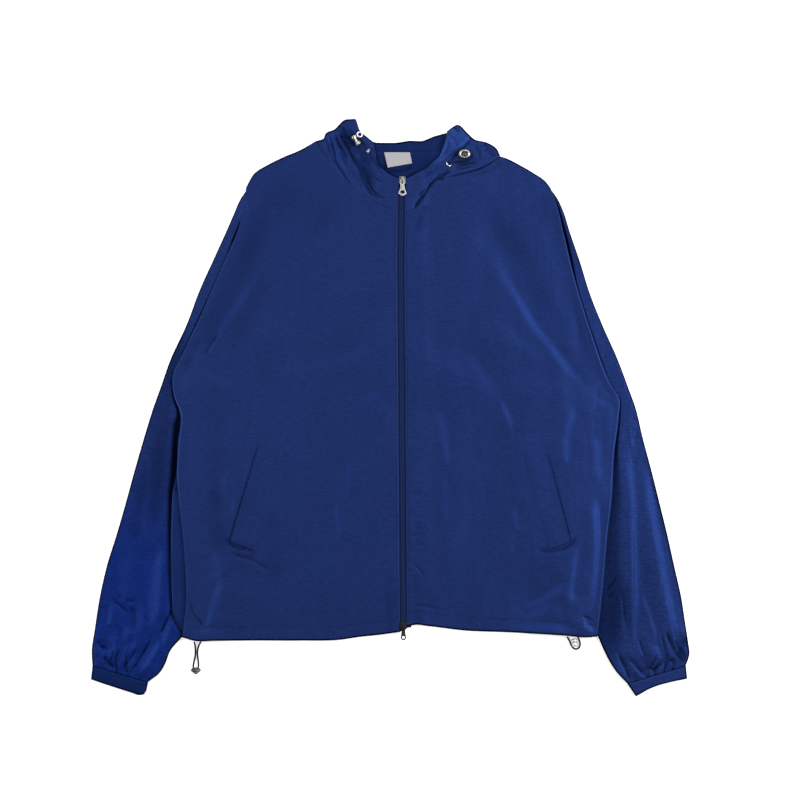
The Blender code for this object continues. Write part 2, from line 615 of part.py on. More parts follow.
def add_slider(name, y, post_side, material, collection, tools):
    """A zip slider: two plates round the chain, a post past the tapes' ends, and a crown.

    Returns the place of the pull tab's axis under the crown, in millimetres."""
    x = float(zip_x(y))
    floor = float(back_level(np.array(x), np.array(y))) + WALL
    tape_top = floor + TAPE_RISE + TAPE_WALL
    top_low = tape_top + SLIDER_OVER_TAPE
    top_high = top_low + SLIDER_PLATE
    half_w, half_l = SLIDER_WIDTH / 2, SLIDER_LENGTH / 2
    low_z = floor + SLIDER_OVER_BACK
    post_y = sorted((y + post_side * (half_l - 0.3), y + post_side * (half_l - 0.3 - POST_LENGTH)))
    body = bpy.data.meshes.new(name)
    work = box_mesh((x - half_w, y - half_l, top_low), (x + half_w, y + half_l, top_high))
    upright = [e for e in work.edges if abs((e.verts[0].co - e.verts[1].co).z) > 0.5e-3]
    bmesh.ops.bevel(work, geom=upright, offset=SLIDER_CORNER * MM, segments=3, profile=0.5, affect="EDGES")
    work.to_mesh(body)
    work.free()
    made = new_object(name, body, material, collection)
    lower = add_cutter_box(name + "_lower_plate", (x - half_w + 0.2, y - half_l + 0.2, low_z),
                           (x + half_w - 0.2, y + half_l - 0.2, low_z + SLIDER_LOWER_PLATE),
                           tools, bevel=SLIDER_CORNER - 0.2)
    post = add_cutter_box(name + "_post", (x - POST_WIDTH / 2, post_y[0], low_z + 0.4),
                          (x + POST_WIDTH / 2, post_y[1], top_low + 0.5), tools)
    reach, rise = CROWN_HALF_LENGTH, CROWN_HEIGHT
    arch = ([(-reach, -0.4), (-reach, rise - 1.4)] + arc(-reach + 1.4, rise - 1.4, 1.4, 180, 90, 3)[1:]
            + arc(reach - 1.4, rise - 1.4, 1.4, 90, 0, 3) + [(reach, -0.4)]
            + [(reach - CROWN_WALL, -0.4), (reach - CROWN_WALL, rise - CROWN_WALL)]
            + [(-reach + CROWN_WALL, rise - CROWN_WALL), (-reach + CROWN_WALL, -0.4)])
    turn = Matrix(((0, 0, 1, x * MM), (1, 0, 0, y * MM), (0, 1, 0, top_high * MM), (0, 0, 0, 1)))
    crown_mesh = mesh_from_curve(name + "_crown", flat_curve(name + "_crown", [arch], CROWN_WIDTH),
                                 turn)
    crown = bpy.data.objects.new(name + "_crown", crown_mesh)
    tools.objects.link(crown)
    crown.hide_render = True
    crown.display_type = "WIRE"
    for piece in (post, lower, crown):
        union = made.modifiers.new(piece.name, "BOOLEAN")
        union.operation = "UNION"
        union.object = piece
    return x, y, top_high + PULL_PIVOT_HEIGHT


def add_pull(name, pivot, neck, end, length, hole, material, collection):
    """A stamped pull tab with its eye round the crown; its origin is on the hinge axis.

    neck and end are half widths near the eye and at the far end, hole the hanging hole."""
    bar = PULL_BAR
    window = CROWN_WIDTH / 2 + PULL_PLAY
    outline = ([(-neck, bar), (neck, bar)] + [(neck, -length * 0.45)]
               + [(end, -length + end * 0.9)]
               + arc(0, -length + end, end, -15, -165, 6) + [(-end, -length + end * 0.9)]
               + [(-neck, -length * 0.45)])
    eye = [(-window, -bar), (window, -bar), (window, -PULL_EYE), (-window, -PULL_EYE)]
    rim = arc(0, -length + end, hole, 0, 324, 9)
    curve = flat_curve(name, [outline, eye, rim], PULL_THICK)
    made = new_object(name, curve, material, collection)
    made.location = Vector(pivot) * MM
    return made


def add_turned(name, profile, place, direction, material, collection, steps=14):
    """A turned piece: profile is radius and distance along the axis, from the far end back."""
    mesh = bpy.data.meshes.new(name)
    points = [(radius * MM, 0.0, along * MM) for radius, along in profile]
    mesh.from_pydata(points, [(k, k + 1) for k in range(len(points) - 1)], [])
    made = new_object(name, mesh, material, collection)
    made.location = Vector(place) * MM
    made.rotation_euler = Vector(direction).to_track_quat("Z", "Y").to_euler()
    turn = made.modifiers.new("Turn", "SCREW")
    turn.steps = turn.render_steps = steps
    turn.use_merge_vertices = True
    turn.merge_threshold = 0.00005
    turn.use_smooth_shade = True
    return made


def add_ring(name, place, normal, radius, wire, material, collection):
    """A round ring: radius is to the middle of its wire, and wire is half the wire's thickness."""
    bpy.ops.mesh.primitive_torus_add(major_radius=radius * MM, minor_radius=wire * MM,
                                     major_segments=RING_AROUND, minor_segments=RING_SECTION)
    made = bpy.context.object
    for home in list(made.users_collection):
        home.objects.unlink(made)
    collection.objects.link(made)
    made.name = made.data.name = name
    made.data.materials.append(material)
    made.data.shade_smooth()
    made.location = Vector(place) * MM
    made.rotation_euler = Vector(normal).to_track_quat("Z", "Y").to_euler()
    return made


def add_cord(name, route, material, collection, step=4.0):
    """A cord along a smooth curve through its route's points (x, y, z in millimetres)."""
    length = np.linalg.norm(np.diff(np.array(route, float), axis=0), axis=1).sum()
    points = resample(route, max(6, int(length / step)))
    curve = bpy.data.curves.new(name, "CURVE")
    curve.dimensions = "3D"
    curve.bevel_depth = CORD_RADIUS * MM
    curve.bevel_resolution = CORD_SIDES
    curve.use_fill_caps = True
    spline = curve.splines.new("POLY")
    spline.points.add(len(points) - 1)
    for target, point in zip(spline.points, points):
        target.co = (*(point * MM), 1.0)
    return new_object(name, curve, material, collection)


SPOOL = [(0.0, 7.5), (2.6, 7.5), (3.8, 6.2), (3.8, 4.0), (2.2, 1.2), (2.2, -1.2), (3.8, -4.0),
         (3.8, -6.2), (2.6, -7.5), (0.0, -7.5)]
BUTTON_LOCK = [(0.0, 8.6), (3.0, 8.6), (4.6, 8.0), (7.0, 6.4), (8.0, 4.2), (7.2, 1.8),
               (4.6, 0.0), (0.0, 0.0)]
CONE_LOCK = [(0.0, 9.6), (2.2, 9.6), (6.0, 5.6), (7.0, 3.6), (6.2, 1.2), (5.4, 0.0), (0.0, 0.0)]
BARREL_LOCK = [(0.0, 11.4), (2.8, 11.4), (4.2, 9.6), (4.2, 7.2), (3.4, 5.7), (4.2, 4.2),
               (4.2, 1.6), (3.0, 0.0), (0.0, 0.0)]

# cord routes: x, y, z in millimetres; on the hood z is the height above the cloth's highest
# point near the cord
HOOD_CORD_LEFT = [(-50.0, 361.0, 1.3), (-52.6, 365.2, 1.4), (-54.6, 369.6, 1.8),
                  (-56.4, 373.4, 2.2), (-58.0, 376.2, 2.4)]
HOOD_CORD_RIGHT = [(69.5, 341.6, 1.3), (74.0, 342.4, 1.3), (79.5, 342.8, 1.3), (86.0, 342.2, 1.3),
                   (92.6, 344.0, 1.3), (97.0, 348.6, 1.3), (98.0, 354.6, 1.3)]
HEM_CORD_LEFT_A = [(-290.5, -327.8, 3.2), (-289.4, -334, 1.6), (-289.0, -343, 1.1),
                   (-290.2, -352, 1.8), (-291.4, -358, 4.4), (-291.7, -362.4, 6.6)]
HEM_CORD_LEFT_B = [(-281.5, -327.8, 3.0), (-284.6, -334, 1.6), (-286.4, -343, 1.1),
                   (-285.4, -352, 1.8), (-284.5, -358, 4.4), (-284.3, -362.4, 6.6)]
HEM_CORD_RIGHT = [(231.2, -320.8, 2.0), (233.2, -324, 1.4), (235.2, -328.5, 1.1),
                  (237.0, -332.6, 1.1), (240.0, -336.6, 1.1), (244.0, -338.0, 1.1),
                  (247.6, -336.2, 1.1), (249.2, -332, 1.1), (248.8, -327.6, 1.1),
                  (247.4, -324.4, 1.4), (246.0, -321.4, 2.0)]


def build():
    for old in list(bpy.data.objects):
        bpy.data.objects.remove(old)
    parts = bpy.data.collections.new("windbreaker_jacket")
    tools = bpy.data.collections.new("tools")
    bpy.context.scene.collection.children.link(parts)
    bpy.context.scene.collection.children.link(tools)

    def cloth(name):
        return make_material(name + "_cloth", NAVY, 0.45)

    # sleeves and cuffs
    def sleeve_relief(folds):
        def relief(across, along, x, y):
            gather = 0.5 - 0.5 * np.cos(2 * math.pi * CUFF_GATHERS * across)
            reach = smooth((along - (1 - GATHER_REACH)) / (GATHER_REACH * 0.5))
            shown = smooth((0.62 - across) / 0.2) if along < 0.72 else 1.0
            return GATHER_HEIGHT * gather * reach + (1 - reach) * shown * fold_relief(folds, x, y)
        return relief

    def cuff_relief(across, along, x, y):
        return GATHER_HEIGHT * 0.7 * (0.5 - 0.5 * np.cos(2 * math.pi * CUFF_GATHERS * across))

    add_tube("sleeve_left", LEFT_SLEEVE_OUTER, LEFT_SLEEVE_INNER, LEFT_SLEEVE_ARMHOLE,
             LEFT_CUFF_SEAM, sleeve_relief(SLEEVE_LEFT_FOLDS), SLEEVE_RINGS,
             cloth("sleeve_left"), parts)
    add_tube("sleeve_right", RIGHT_SLEEVE_OUTER, RIGHT_SLEEVE_INNER, RIGHT_SLEEVE_ARMHOLE,
             RIGHT_CUFF_SEAM, sleeve_relief(SLEEVE_RIGHT_FOLDS), SLEEVE_RINGS,
             cloth("sleeve_right"), parts)
    for name, seam, hem in (("cuff_left", LEFT_CUFF_SEAM, LEFT_CUFF_HEM),
                            ("cuff_right", RIGHT_CUFF_SEAM, RIGHT_CUFF_HEM)):
        seam, hem = np.array(seam, float), np.array(hem, float)
        down = (hem.mean(axis=0) - seam.mean(axis=0))
        start = seam + down / np.linalg.norm(down) * SEAM_STEP
        add_tube(name, [start[0], hem[0]], [start[1], hem[1]], start, hem, cuff_relief,
                 CUFF_RINGS, cloth(name), parts)

    # hood bag, back, fronts and hood sides
    add_hood_bag(cloth("hood_bag"), parts)
    add_back(cloth("back"), parts)
    for name, side in (("zip_tape_left", -1), ("zip_tape_right", 1)):
        add_zip_tape(name, side, make_material(name, DEEP_NAVY, 0.7), parts)
    add_front("front_left", LEFT_SIDE, LEFT_SHOULDER, LEFT_NECK, LEFT_HEM, -1,
              FRONT_LEFT_FOLDS, cloth("front_left"), parts)
    add_front("front_right", RIGHT_SIDE, RIGHT_SHOULDER, RIGHT_NECK, RIGHT_HEM, 1,
              FRONT_RIGHT_FOLDS, cloth("front_right"), parts)
    add_hood_side("hood_left", LEFT_NECK, HOOD_LEFT_TOP, HOOD_LEFT_EDGE, -1, HOOD_LEFT_FOLDS,
                  cloth("hood_left"), parts)
    add_hood_side("hood_right", RIGHT_NECK, HOOD_RIGHT_TOP, HOOD_RIGHT_EDGE, 1,
                  HOOD_RIGHT_FOLDS, cloth("hood_right"), parts)

    # what lies on the panels
    add_patch_piece("pocket_welt_left", LEFT_WELT, "front_left", WELT_CLEAR, WELT_WALL, (2, 7),
                    cloth("pocket_welt_left"), parts)
    add_patch_piece("pocket_welt_right", RIGHT_WELT, "front_right", WELT_CLEAR, WELT_WALL, (2, 7),
                    cloth("pocket_welt_right"), parts)
    add_patch_piece("neck_label", NECK_LABEL, "back", LABEL_CLEAR, LABEL_WALL, (1, 1),
                    make_material("neck_label", PALE_GREY, 0.8), parts)

    # zip sliders and their pull tabs
    steel = make_material("slider_metal", SILVER, 0.3, 1.0)
    dark = make_material("slider_dark", BLACK, 0.4, 0.6)
    top_axis = add_slider("top_slider", TOP_SLIDER_Y, 1, steel, parts, tools)
    add_pull("top_pull", top_axis, 2.7, 5.4, 22.0, 2.1, make_material("pull_metal", SILVER, 0.3, 1.0),
             parts)
    bottom_axis = add_slider("bottom_slider", BOTTOM_SLIDER_Y, -1, dark, parts, tools)
    add_pull("bottom_pull", bottom_axis, 2.6, 3.9, 20.0, 2.0,
             make_material("pull_dark", BLACK, 0.4, 0.6), parts)

    # drawcord hardware on the hood
    left, right = surface_under("hood_left"), surface_under("hood_right")
    metal = make_material("lock_metal", SILVER, 0.25, 1.0)
    for name, tree, x, y in (("eyelet_left", left, -48, 356), ("eyelet_right", right, 65, 341)):
        around = max(height_on(tree, x + dx, y + dy) for dx in (-3, 0, 3) for dy in (-3, 0, 3))
        add_ring(name, (x, y, around + EYELET_WIRE + GAP), (0, 0, 1), EYELET_RADIUS, EYELET_WIRE,
                 metal, parts)
    brass = make_material("lock_brass", BRASS, 0.3, 1.0)
    spool_z = max(height_on(left, x, y) for x, y in ((-68, 377), (-64, 372), (-60, 366))) + 4.3
    add_turned("hood_lock_left", SPOOL, (-64, 372, spool_z), (-0.57, 0.82, 0.0), brass, parts)
    ring_z = max(height_on(left, x, y) for x, y in ((-58, 380), (-60, 384), (-64, 382)))
    add_ring("hood_lock_left_ring", (-59.6, 382.2, ring_z + 2.0), (0.2, 0.3, 1), 3.3, 1.2, metal,
             parts)
    button_z = max(height_on(right, 87 + dx, 353 + dy) for dx in (-6, 0, 6) for dy in (-5, 0, 5))
    add_turned("hood_lock_right", BUTTON_LOCK, (87, 353, button_z + 0.4), (0, 0, 1), brass, parts)

    # the drawcord's short stretches on the hood, held between eyelet and lock
    black = make_material("cord_black", BLACK, 0.7)
    for name, tree, route in (("hood_cord_left", left, HOOD_CORD_LEFT),
                              ("hood_cord_right", right, HOOD_CORD_RIGHT)):
        bed = max(height_on(tree, x + dx, y + dy) for x, y, _ in route
                  for dx in (-1.5, 0, 1.5) for dy in (-1.5, 0, 1.5))
        add_cord(name, [(x, y, bed + z) for x, y, z in route], black, parts, 3.0)

    # drawcord ends at the hem
    add_cord("hem_cord_left_a", HEM_CORD_LEFT_A, black, parts)
    add_cord("hem_cord_left_b", HEM_CORD_LEFT_B, black, parts)
    add_cord("hem_cord_right", HEM_CORD_RIGHT, black, parts, 3.0)
    add_turned("hem_lock_left", CONE_LOCK, (-288, -362.9, 7.4), (0, -1, 0), metal, parts)
    add_turned("hem_lock_right", BARREL_LOCK, (240.2, -323.2, 4.8), (0.2, -0.98, 0), metal, parts)


build()
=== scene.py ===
# %% [markdown]
# # A hooded windbreaker, laid flat
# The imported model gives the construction: where each cut piece lies, and how high. This script
# gives the looks. Every cloth piece is made again as a thin, finely creased wall on its solid,
# and the metal pieces get finer shapes and finishes. Loading comes first, because every size
# below is measured from what is loaded.

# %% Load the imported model
import math

import bmesh
import bpy
import numpy as np
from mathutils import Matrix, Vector


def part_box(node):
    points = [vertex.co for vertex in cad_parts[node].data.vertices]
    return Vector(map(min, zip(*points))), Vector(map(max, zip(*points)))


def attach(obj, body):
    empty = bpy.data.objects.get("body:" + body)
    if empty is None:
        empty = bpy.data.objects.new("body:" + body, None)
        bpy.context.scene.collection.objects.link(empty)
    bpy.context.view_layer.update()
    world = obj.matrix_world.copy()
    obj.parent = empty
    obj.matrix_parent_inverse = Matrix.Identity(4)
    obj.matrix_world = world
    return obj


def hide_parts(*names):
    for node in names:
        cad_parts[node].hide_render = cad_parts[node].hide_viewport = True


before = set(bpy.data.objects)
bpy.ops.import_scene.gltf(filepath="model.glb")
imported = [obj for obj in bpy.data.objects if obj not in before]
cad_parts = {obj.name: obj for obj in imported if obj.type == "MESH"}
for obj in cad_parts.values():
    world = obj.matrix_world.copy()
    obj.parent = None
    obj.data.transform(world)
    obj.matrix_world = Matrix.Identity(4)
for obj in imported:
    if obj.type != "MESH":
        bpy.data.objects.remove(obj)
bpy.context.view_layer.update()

MM = 0.001
BODY = "jacket"

# %% [markdown]
# ## Camera
# The garment is seen from straight above. A long lens keeps its outline nearly as a plan, so
# the camera stands three metres up and its lens is worked out from the width it has to show.

# %% Camera
VIEW_WIDTH = 1.12
VIEW_CENTRE = (-0.0028, 0.0105)
CAMERA_HEIGHT = 3.0
SENSOR_WIDTH = 36.0
camera_data = bpy.data.cameras.new("camera")
camera_data.sensor_width = SENSOR_WIDTH
camera_data.lens = SENSOR_WIDTH * CAMERA_HEIGHT / VIEW_WIDTH
camera = bpy.data.objects.new("camera", camera_data)
camera.location = (*VIEW_CENTRE, CAMERA_HEIGHT)
bpy.context.scene.collection.objects.link(camera)
bpy.context.scene.camera = camera
print("lens", round(camera_data.lens, 1), "mm")

# %% [markdown]
# ## Shader helpers
# Shader maths reads best as plain sums. `Wire` holds a socket and turns + and * into Math nodes,
# and `Finish` holds a material. Its one method `node` makes any node: it sets the node's own
# settings first, and then fills or links its sockets. The others are short names for the nodes
# that come up often.

# %% Sums of sockets
class Wire:
    """A socket that can be used in sums; each sum adds a Math node."""

    def __init__(self, finish, socket):
        self.finish = finish
        self.socket = socket

    def maths(self, operation, *values):
        """A Math node with these values in its sockets, in turn."""
        return self.finish.node("ShaderNodeMath", {"operation": operation},
                                dict(enumerate(values)))

    def __add__(self, other):
        return self.maths("ADD", self, other)

    def __mul__(self, other):
        return self.maths("MULTIPLY", self, other)

    def sine(self):
        return self.maths("SINE", self)

    def above(self, low, high):
        """0 below low, 1 above high, and a soft step between them."""
        return self.finish.node("ShaderNodeMapRange", {"interpolation_type": "SMOOTHSTEP"},
                                {"Value": self, "From Min": low, "From Max": high})


print("a Wire adds, multiplies, takes a sine and makes a soft step")


# %% A material
class Finish:
    """A material round one Principled shader; fixed values go straight on its sockets."""

    def __init__(self, name, **fixed):
        self.material = bpy.data.materials.new(name)
        self.material.use_nodes = True
        self.tree = self.material.node_tree
        self.shader = self.tree.nodes["Principled BSDF"]
        for socket, value in fixed.items():
            self.fill(self.shader.inputs[socket.replace("_", " ")], value)

    def fill(self, socket, value):
        """Links a wire to a socket, or sets a plain value or colour on it."""
        if isinstance(value, Wire):
            self.tree.links.new(value.socket, socket)
        elif socket.type == "RGBA" and len(value) == 3:
            socket.default_value = (*value, 1.0)
        else:
            socket.default_value = value

    def node(self, kind, settings=None, sockets=None, output=0):
        """A new node with its settings and sockets filled; gives the wire of one output."""
        made = self.tree.nodes.new(kind)
        for key, value in (settings or {}).items():
            setattr(made, key, value)
        for key, value in (sockets or {}).items():
            self.fill(made.inputs[key], value)
        return Wire(self, made.outputs[output])

    def place(self, scale=(1.0, 1.0, 1.0), turn=0.0):
        """Object coordinates in millimetres, stretched and turned about Z."""
        where = self.node("ShaderNodeTexCoord", output="Object")
        return self.node("ShaderNodeMapping", None, {
            "Vector": where, "Rotation": (0.0, 0.0, math.radians(turn)),
            "Scale": tuple(s / MM for s in scale)})

    def millimetres(self, axis):
        """How far along X (0) or Y (1) a place is, in millimetres."""
        return self.node("ShaderNodeSeparateXYZ", None, {"Vector": self.place()}, axis)

    def noise(self, size, detail=2.0, scale=(1.0, 1.0, 1.0), turn=0.0):
        """Cloudy noise between 0 and 1 whose blobs are about size millimetres across."""
        return self.node("ShaderNodeTexNoise", None, {
            "Vector": self.place(scale, turn), "Scale": 1.0 / size, "Detail": detail})

    def mix(self, factor, first, second):
        """A colour between two colours."""
        return self.node("ShaderNodeMix", {"data_type": "RGBA"},
                         {0: factor, 6: first, 7: second}, output=2)

    def bump(self, height, depth):
        """Links a height between 0 and 1 to the shader's Normal; depth is in millimetres."""
        self.drive(Normal=self.node("ShaderNodeBump", None,
                                    {"Height": height, "Distance": depth * MM}))

    def mark(self, name):
        """A number that the mesh carries at its points; it is 0 where the mesh has none."""
        return self.node("ShaderNodeAttribute", {"attribute_name": name}, output=2)

    def cover(self, factor, colour):
        """Mixes a plain dull colour over the shader: painted shade inside folds, under edges and round
        the outline.
        """
        dull = self.node("ShaderNodeBsdfDiffuse", None, {"Color": colour})
        over = self.node("ShaderNodeMixShader", None, {
            0: factor, 1: Wire(self, self.shader.outputs[0]), 2: dull})
        self.fill(self.tree.nodes["Material Output"].inputs["Surface"], over)

    def drive(self, **wires):
        """Fills sockets of the Principled shader, named with _ in place of a space."""
        for socket, wire in wires.items():
            self.fill(self.shader.inputs[socket.replace("_", " ")], wire)


print("a Finish makes nodes, noise, bump and marks")

# %% [markdown]
# ## Finishes
# The shell is crisp nylon: a deep royal navy with a soft, slightly blue sheen and a fine crinkle
# that runs longer down the cloth than across it. The crinkle is bump, because the finest of its
# wrinkles are smaller than a mesh cell. The weave is two crossed waves half a millimetre
# apart. The left cuff is the same cloth, coloured darker as painted shade, for the shade that
# falls on it.
#
# Light and shade also follow the shape, and some are painted. Each mesh carries numbers at its
# points, called attributes, that say where a crease gets painted shade (`hollow`), where it gets
# a painted sheen (`sheen`), where another piece's shadow is painted (`gap` and `dark`), and how
# near an edge is, for painted shade round the outline (`edge`), or a rolled seam, for its painted
# highlight (`seam` and `rim`). On the hood, `turned` marks where the edge is turned over; there
# the nylon is painted brighter, a painted highlight for how it faces the lamps.

# %% The nylon shell
# Painted light: LIT is a painted sheen on folds that face a lamp, SEAM_LIGHT a painted highlight along
# rolled seams, and FOLD_DARK painted shade inside folds, under edges and round the outline.
LIT = (0.0066, 0.0190, 0.1020)          # where a fold faces a lamp
SEAM_LIGHT = (0.030, 0.060, 0.21)       # the bright line along a rolled seam
FOLD_DARK = (0.0006, 0.0012, 0.0070)    # inside a fold, under an edge and round the outline
WEAVE = 12.6                            # radians a millimetre: a thread every half millimetre


def nylon(name, deep, bright, roughness=0.50, crinkle=0.30, second=None):
    """Crinkled cloth between two colours; second is a share and the two colours that it brings.

    crinkle is the height of its bumps in millimetres."""
    finish = Finish(name, Specular_IOR_Level=0.42, Specular_Tint=(0.06, 0.20, 1.0))
    cloud = finish.noise(70.0, 3.0)
    slub = finish.noise(2.4, 3.0, (0.35, 1.0, 1.0))
    grain = cloud * 0.3 + slub.above(0.22, 0.78) * 0.7
    cloth = finish.mix(grain, deep, bright)
    if second:
        share, other_deep, other_bright = second
        cloth = finish.mix(share(finish), cloth, finish.mix(grain, other_deep, other_bright))
    # painted sheen: where a fold faces a lamp its colour is lighter
    cloth = finish.mix(finish.mark("sheen"), cloth, LIT)
    # painted highlight: a bright line along a rolled seam
    rim = finish.mark("seam").above(8.0, 9.6) * finish.mark("rim")
    finish.drive(Base_Color=finish.mix(rim, cloth, SEAM_LIGHT),
                 Roughness=cloud * 0.08 + slub * 0.06 + (roughness - 0.07))
    patches = finish.noise(90.0, 2.0, (1.0, 0.6, 1.0)).above(0.40, 0.66)
    long_wrinkle = finish.noise(9.0, 4.0, (1.0, 0.28, 1.0), 5.0)
    weave = (finish.millimetres(0) * WEAVE).sine() * (finish.millimetres(1) * WEAVE).sine()
    finish.bump(long_wrinkle * (patches * 1.8 + 0.7) + slub * 0.9 + weave * 0.02, crinkle)
    # painted shade: darker inside folds, in another piece's shadow and round the outline
    folds = finish.mark("hollow") + finish.mark("gap").above(0.0, 0.9) * finish.mark("dark")
    finish.cover(folds + finish.mark("edge").above(6.5, 8.7) * 0.95, FOLD_DARK)
    return finish.material


def turned_share(finish):
    """1 where the hood's edge is turned over, which is painted brighter as a highlight."""
    return finish.mark("turned").above(-0.6, 0.8)


def lower_share(finish):
    """0 at the top of a sleeve, rising to 0.85 at its cuff."""
    return (finish.millimetres(1) * -1.0).above(40.0, 240.0) * 0.85


NAVY = ((0.0040, 0.0080, 0.0330), (0.0068, 0.0132, 0.0560))
SLEEVE_NAVY = ((0.0030, 0.0066, 0.0290), (0.0076, 0.0146, 0.0610))
shell_cloth = nylon("shell_nylon", *NAVY)
inner_cloth = nylon("inside_nylon", (0.0018, 0.0038, 0.018), (0.0032, 0.0066, 0.031), 0.6)
# painted shade: the left cuff's cloth is coloured darker for the shade that falls on it
left_cuff_shaded_cloth = nylon("left_cuff_shaded_nylon", (0.0012, 0.0036, 0.020), (0.0022, 0.0060, 0.033), 0.55, 0.12)
# the second colours paint the turned-over edge brighter: a painted highlight for how it faces the
# lamps
hood_cloth = nylon("hood_nylon", *NAVY, crinkle=0.45,
                   second=(turned_share, (0.0040, 0.0120, 0.0500), (0.0110, 0.0270, 0.1050)))
sleeve_cloth = nylon("sleeve_nylon", *SLEEVE_NAVY, crinkle=0.65)
left_sleeve_cloth = nylon("left_sleeve_nylon", *SLEEVE_NAVY, crinkle=0.7,
                          second=(lower_share, (0.0006, 0.0036, 0.0400), (0.0016, 0.0086, 0.0820)))
print("with the nylon there are", len(bpy.data.materials), "materials")

# %% [markdown]
# ## Other finishes
# The zip's tape is a close weave, its teeth are dull nylon, and the label is satin with fine
# ribs. Metal reflects what is round it, so its wear shows as roughness and as a darker colour:
# small cloudy patches and fine scratches along one direction.

# %% Tape, thread, label, cord and metal
def woven(name, dark, light, size, roughness, depth=0.12, gloss=0.1):
    """Ribs both ways, size millimetres apart and depth high, fuzzed with noise."""
    finish = Finish(name, Specular_IOR_Level=gloss)
    turn = 2 * math.pi / size
    ribs = ((finish.millimetres(0) * turn).sine() * 0.5
            + (finish.millimetres(1) * turn).sine() * 0.5)
    fuzz = finish.noise(size * 1.5, 3.0)
    finish.drive(Base_Color=finish.mix(fuzz * 0.6 + ribs * 0.2 + 0.2, dark, light),
                 Roughness=fuzz * 0.12 + roughness)
    finish.bump(ribs * 0.5 + fuzz * 0.5, depth)
    return finish.material


def metal(name, deep, bright, roughness, wear=0.5, metallic=1.0, gloss=0.5):
    """Metal that is deeper and rougher where patches and scratches have worn it."""
    finish = Finish(name, Metallic=metallic, Specular_IOR_Level=gloss)
    patch_noise = finish.noise(2.5, 4.0)
    scratch = finish.noise(0.5, 2.0, (1.0, 0.08, 1.0), 20.0)
    worn = (patch_noise * 0.6 + scratch * 0.4).above(0.40, 0.62)
    finish.drive(Base_Color=finish.mix(worn * wear, bright, deep),
                 Roughness=worn * 0.18 + roughness)
    finish.bump(scratch * 0.3 + patch_noise * 0.7, 0.03)
    return finish.material


zip_tape = woven("zip_tape_weave", (0.0014, 0.0036, 0.018), (0.0032, 0.0078, 0.038), 0.9, 0.8)
thread = woven("sewing_thread", (0.0030, 0.0064, 0.030), (0.0060, 0.0120, 0.052), 0.5, 0.7)
teeth_nylon = woven("zip_teeth_nylon", (0.0032, 0.0098, 0.046), (0.0058, 0.0170, 0.076), 1.1, 0.6,
                    0.05)
label_satin = woven("label_satin", (0.18, 0.18, 0.185), (0.25, 0.25, 0.255), 0.8, 0.5, 0.08, 0.2)
cord_braid = woven("cord_braid", (0.0015, 0.0015, 0.002), (0.008, 0.008, 0.010), 0.7, 0.8, 0.25, 0.05)
# Painted shade: the top slider's silver is darker and its worn patches go near black, standing in for
# the shade in the slider's middle as well as for wear.
worn_and_shaded_silver = metal("worn_and_shaded_silver", (0.010, 0.010, 0.010), (0.40, 0.40, 0.40), 0.22, 1.0)
silver = metal("polished_silver", (0.22, 0.22, 0.22), (0.62, 0.62, 0.63), 0.24)
dark_metal = metal("dark_enamel", (0.002, 0.002, 0.003), (0.012, 0.012, 0.015), 0.5, 0.6, 0.0, 0.12)
brass = metal("aged_brass", (0.03, 0.032, 0.024), (0.56, 0.56, 0.48), 0.24, 0.8)
nickel = metal("grey_nickel", (0.008, 0.008, 0.006), (0.12, 0.12, 0.095), 0.30, 0.8)
print("with the other finishes there are", len(bpy.data.materials))

# %% [markdown]
# ## Cords
# The hem's drawcord comes out at both ends. On the left its two strands run down together into
# a cone-shaped lock. On the right one short loop goes out and back round a barrel lock. Each
# route is a short list of points that a smooth curve goes through, as it is in the model. The
# two short stretches on the hood are held between an eyelet and a lock, so nothing hangs.

# %% Routes of the cords
CORD_RADIUS = 1.25
HOOD_CORD_RADIUS = 0.9
CORD_POINTS = 24
HEM_CORD_LIFT = 0.25    # the finished cord is thicker than the model's, and still lies on the floor
HEM_CORD_LEFT_A = [(-290.5, -327.8, 3.2), (-289.4, -334, 1.6), (-289.0, -343, 1.1),
                   (-290.2, -352, 1.8), (-291.4, -358, 4.4), (-291.7, -362.4, 6.6)]
HEM_CORD_LEFT_B = [(-281.5, -327.8, 3.0), (-284.6, -334, 1.6), (-286.4, -343, 1.1),
                   (-285.4, -352, 1.8), (-284.5, -358, 4.4), (-284.3, -362.4, 6.6)]
HEM_CORD_RIGHT = [(231.2, -320.8, 2.0), (233.2, -324, 1.4), (235.2, -328.5, 1.1),
                  (237.0, -332.6, 1.1), (240.0, -336.6, 1.1), (244.0, -338.0, 1.1),
                  (247.6, -336.2, 1.1), (249.2, -332, 1.1), (248.8, -327.6, 1.1),
                  (247.4, -324.4, 1.4), (246.0, -321.4, 2.0)]
HOOD_CORD_LEFT = [(-50.0, 361.0, 1.3), (-52.6, 365.2, 1.4), (-54.6, 369.6, 1.8),
                  (-56.4, 373.4, 2.2), (-58.0, 376.2, 2.4)]
HOOD_CORD_RIGHT = [(69.5, 341.6, 1.3), (74.0, 342.4, 1.3), (79.5, 342.8, 1.3), (86.0, 342.2, 1.3),
                   (92.6, 344.0, 1.3), (97.0, 348.6, 1.3), (98.0, 354.6, 1.3)]
print("the hem's cords lie", HEM_CORD_LIFT, "mm higher than in the model")


# %% Cords
def run_along(points):
    """How far each point is from the first, going from point to point."""
    return np.concatenate(([0.0], np.cumsum(np.linalg.norm(np.diff(points, axis=0), axis=1))))


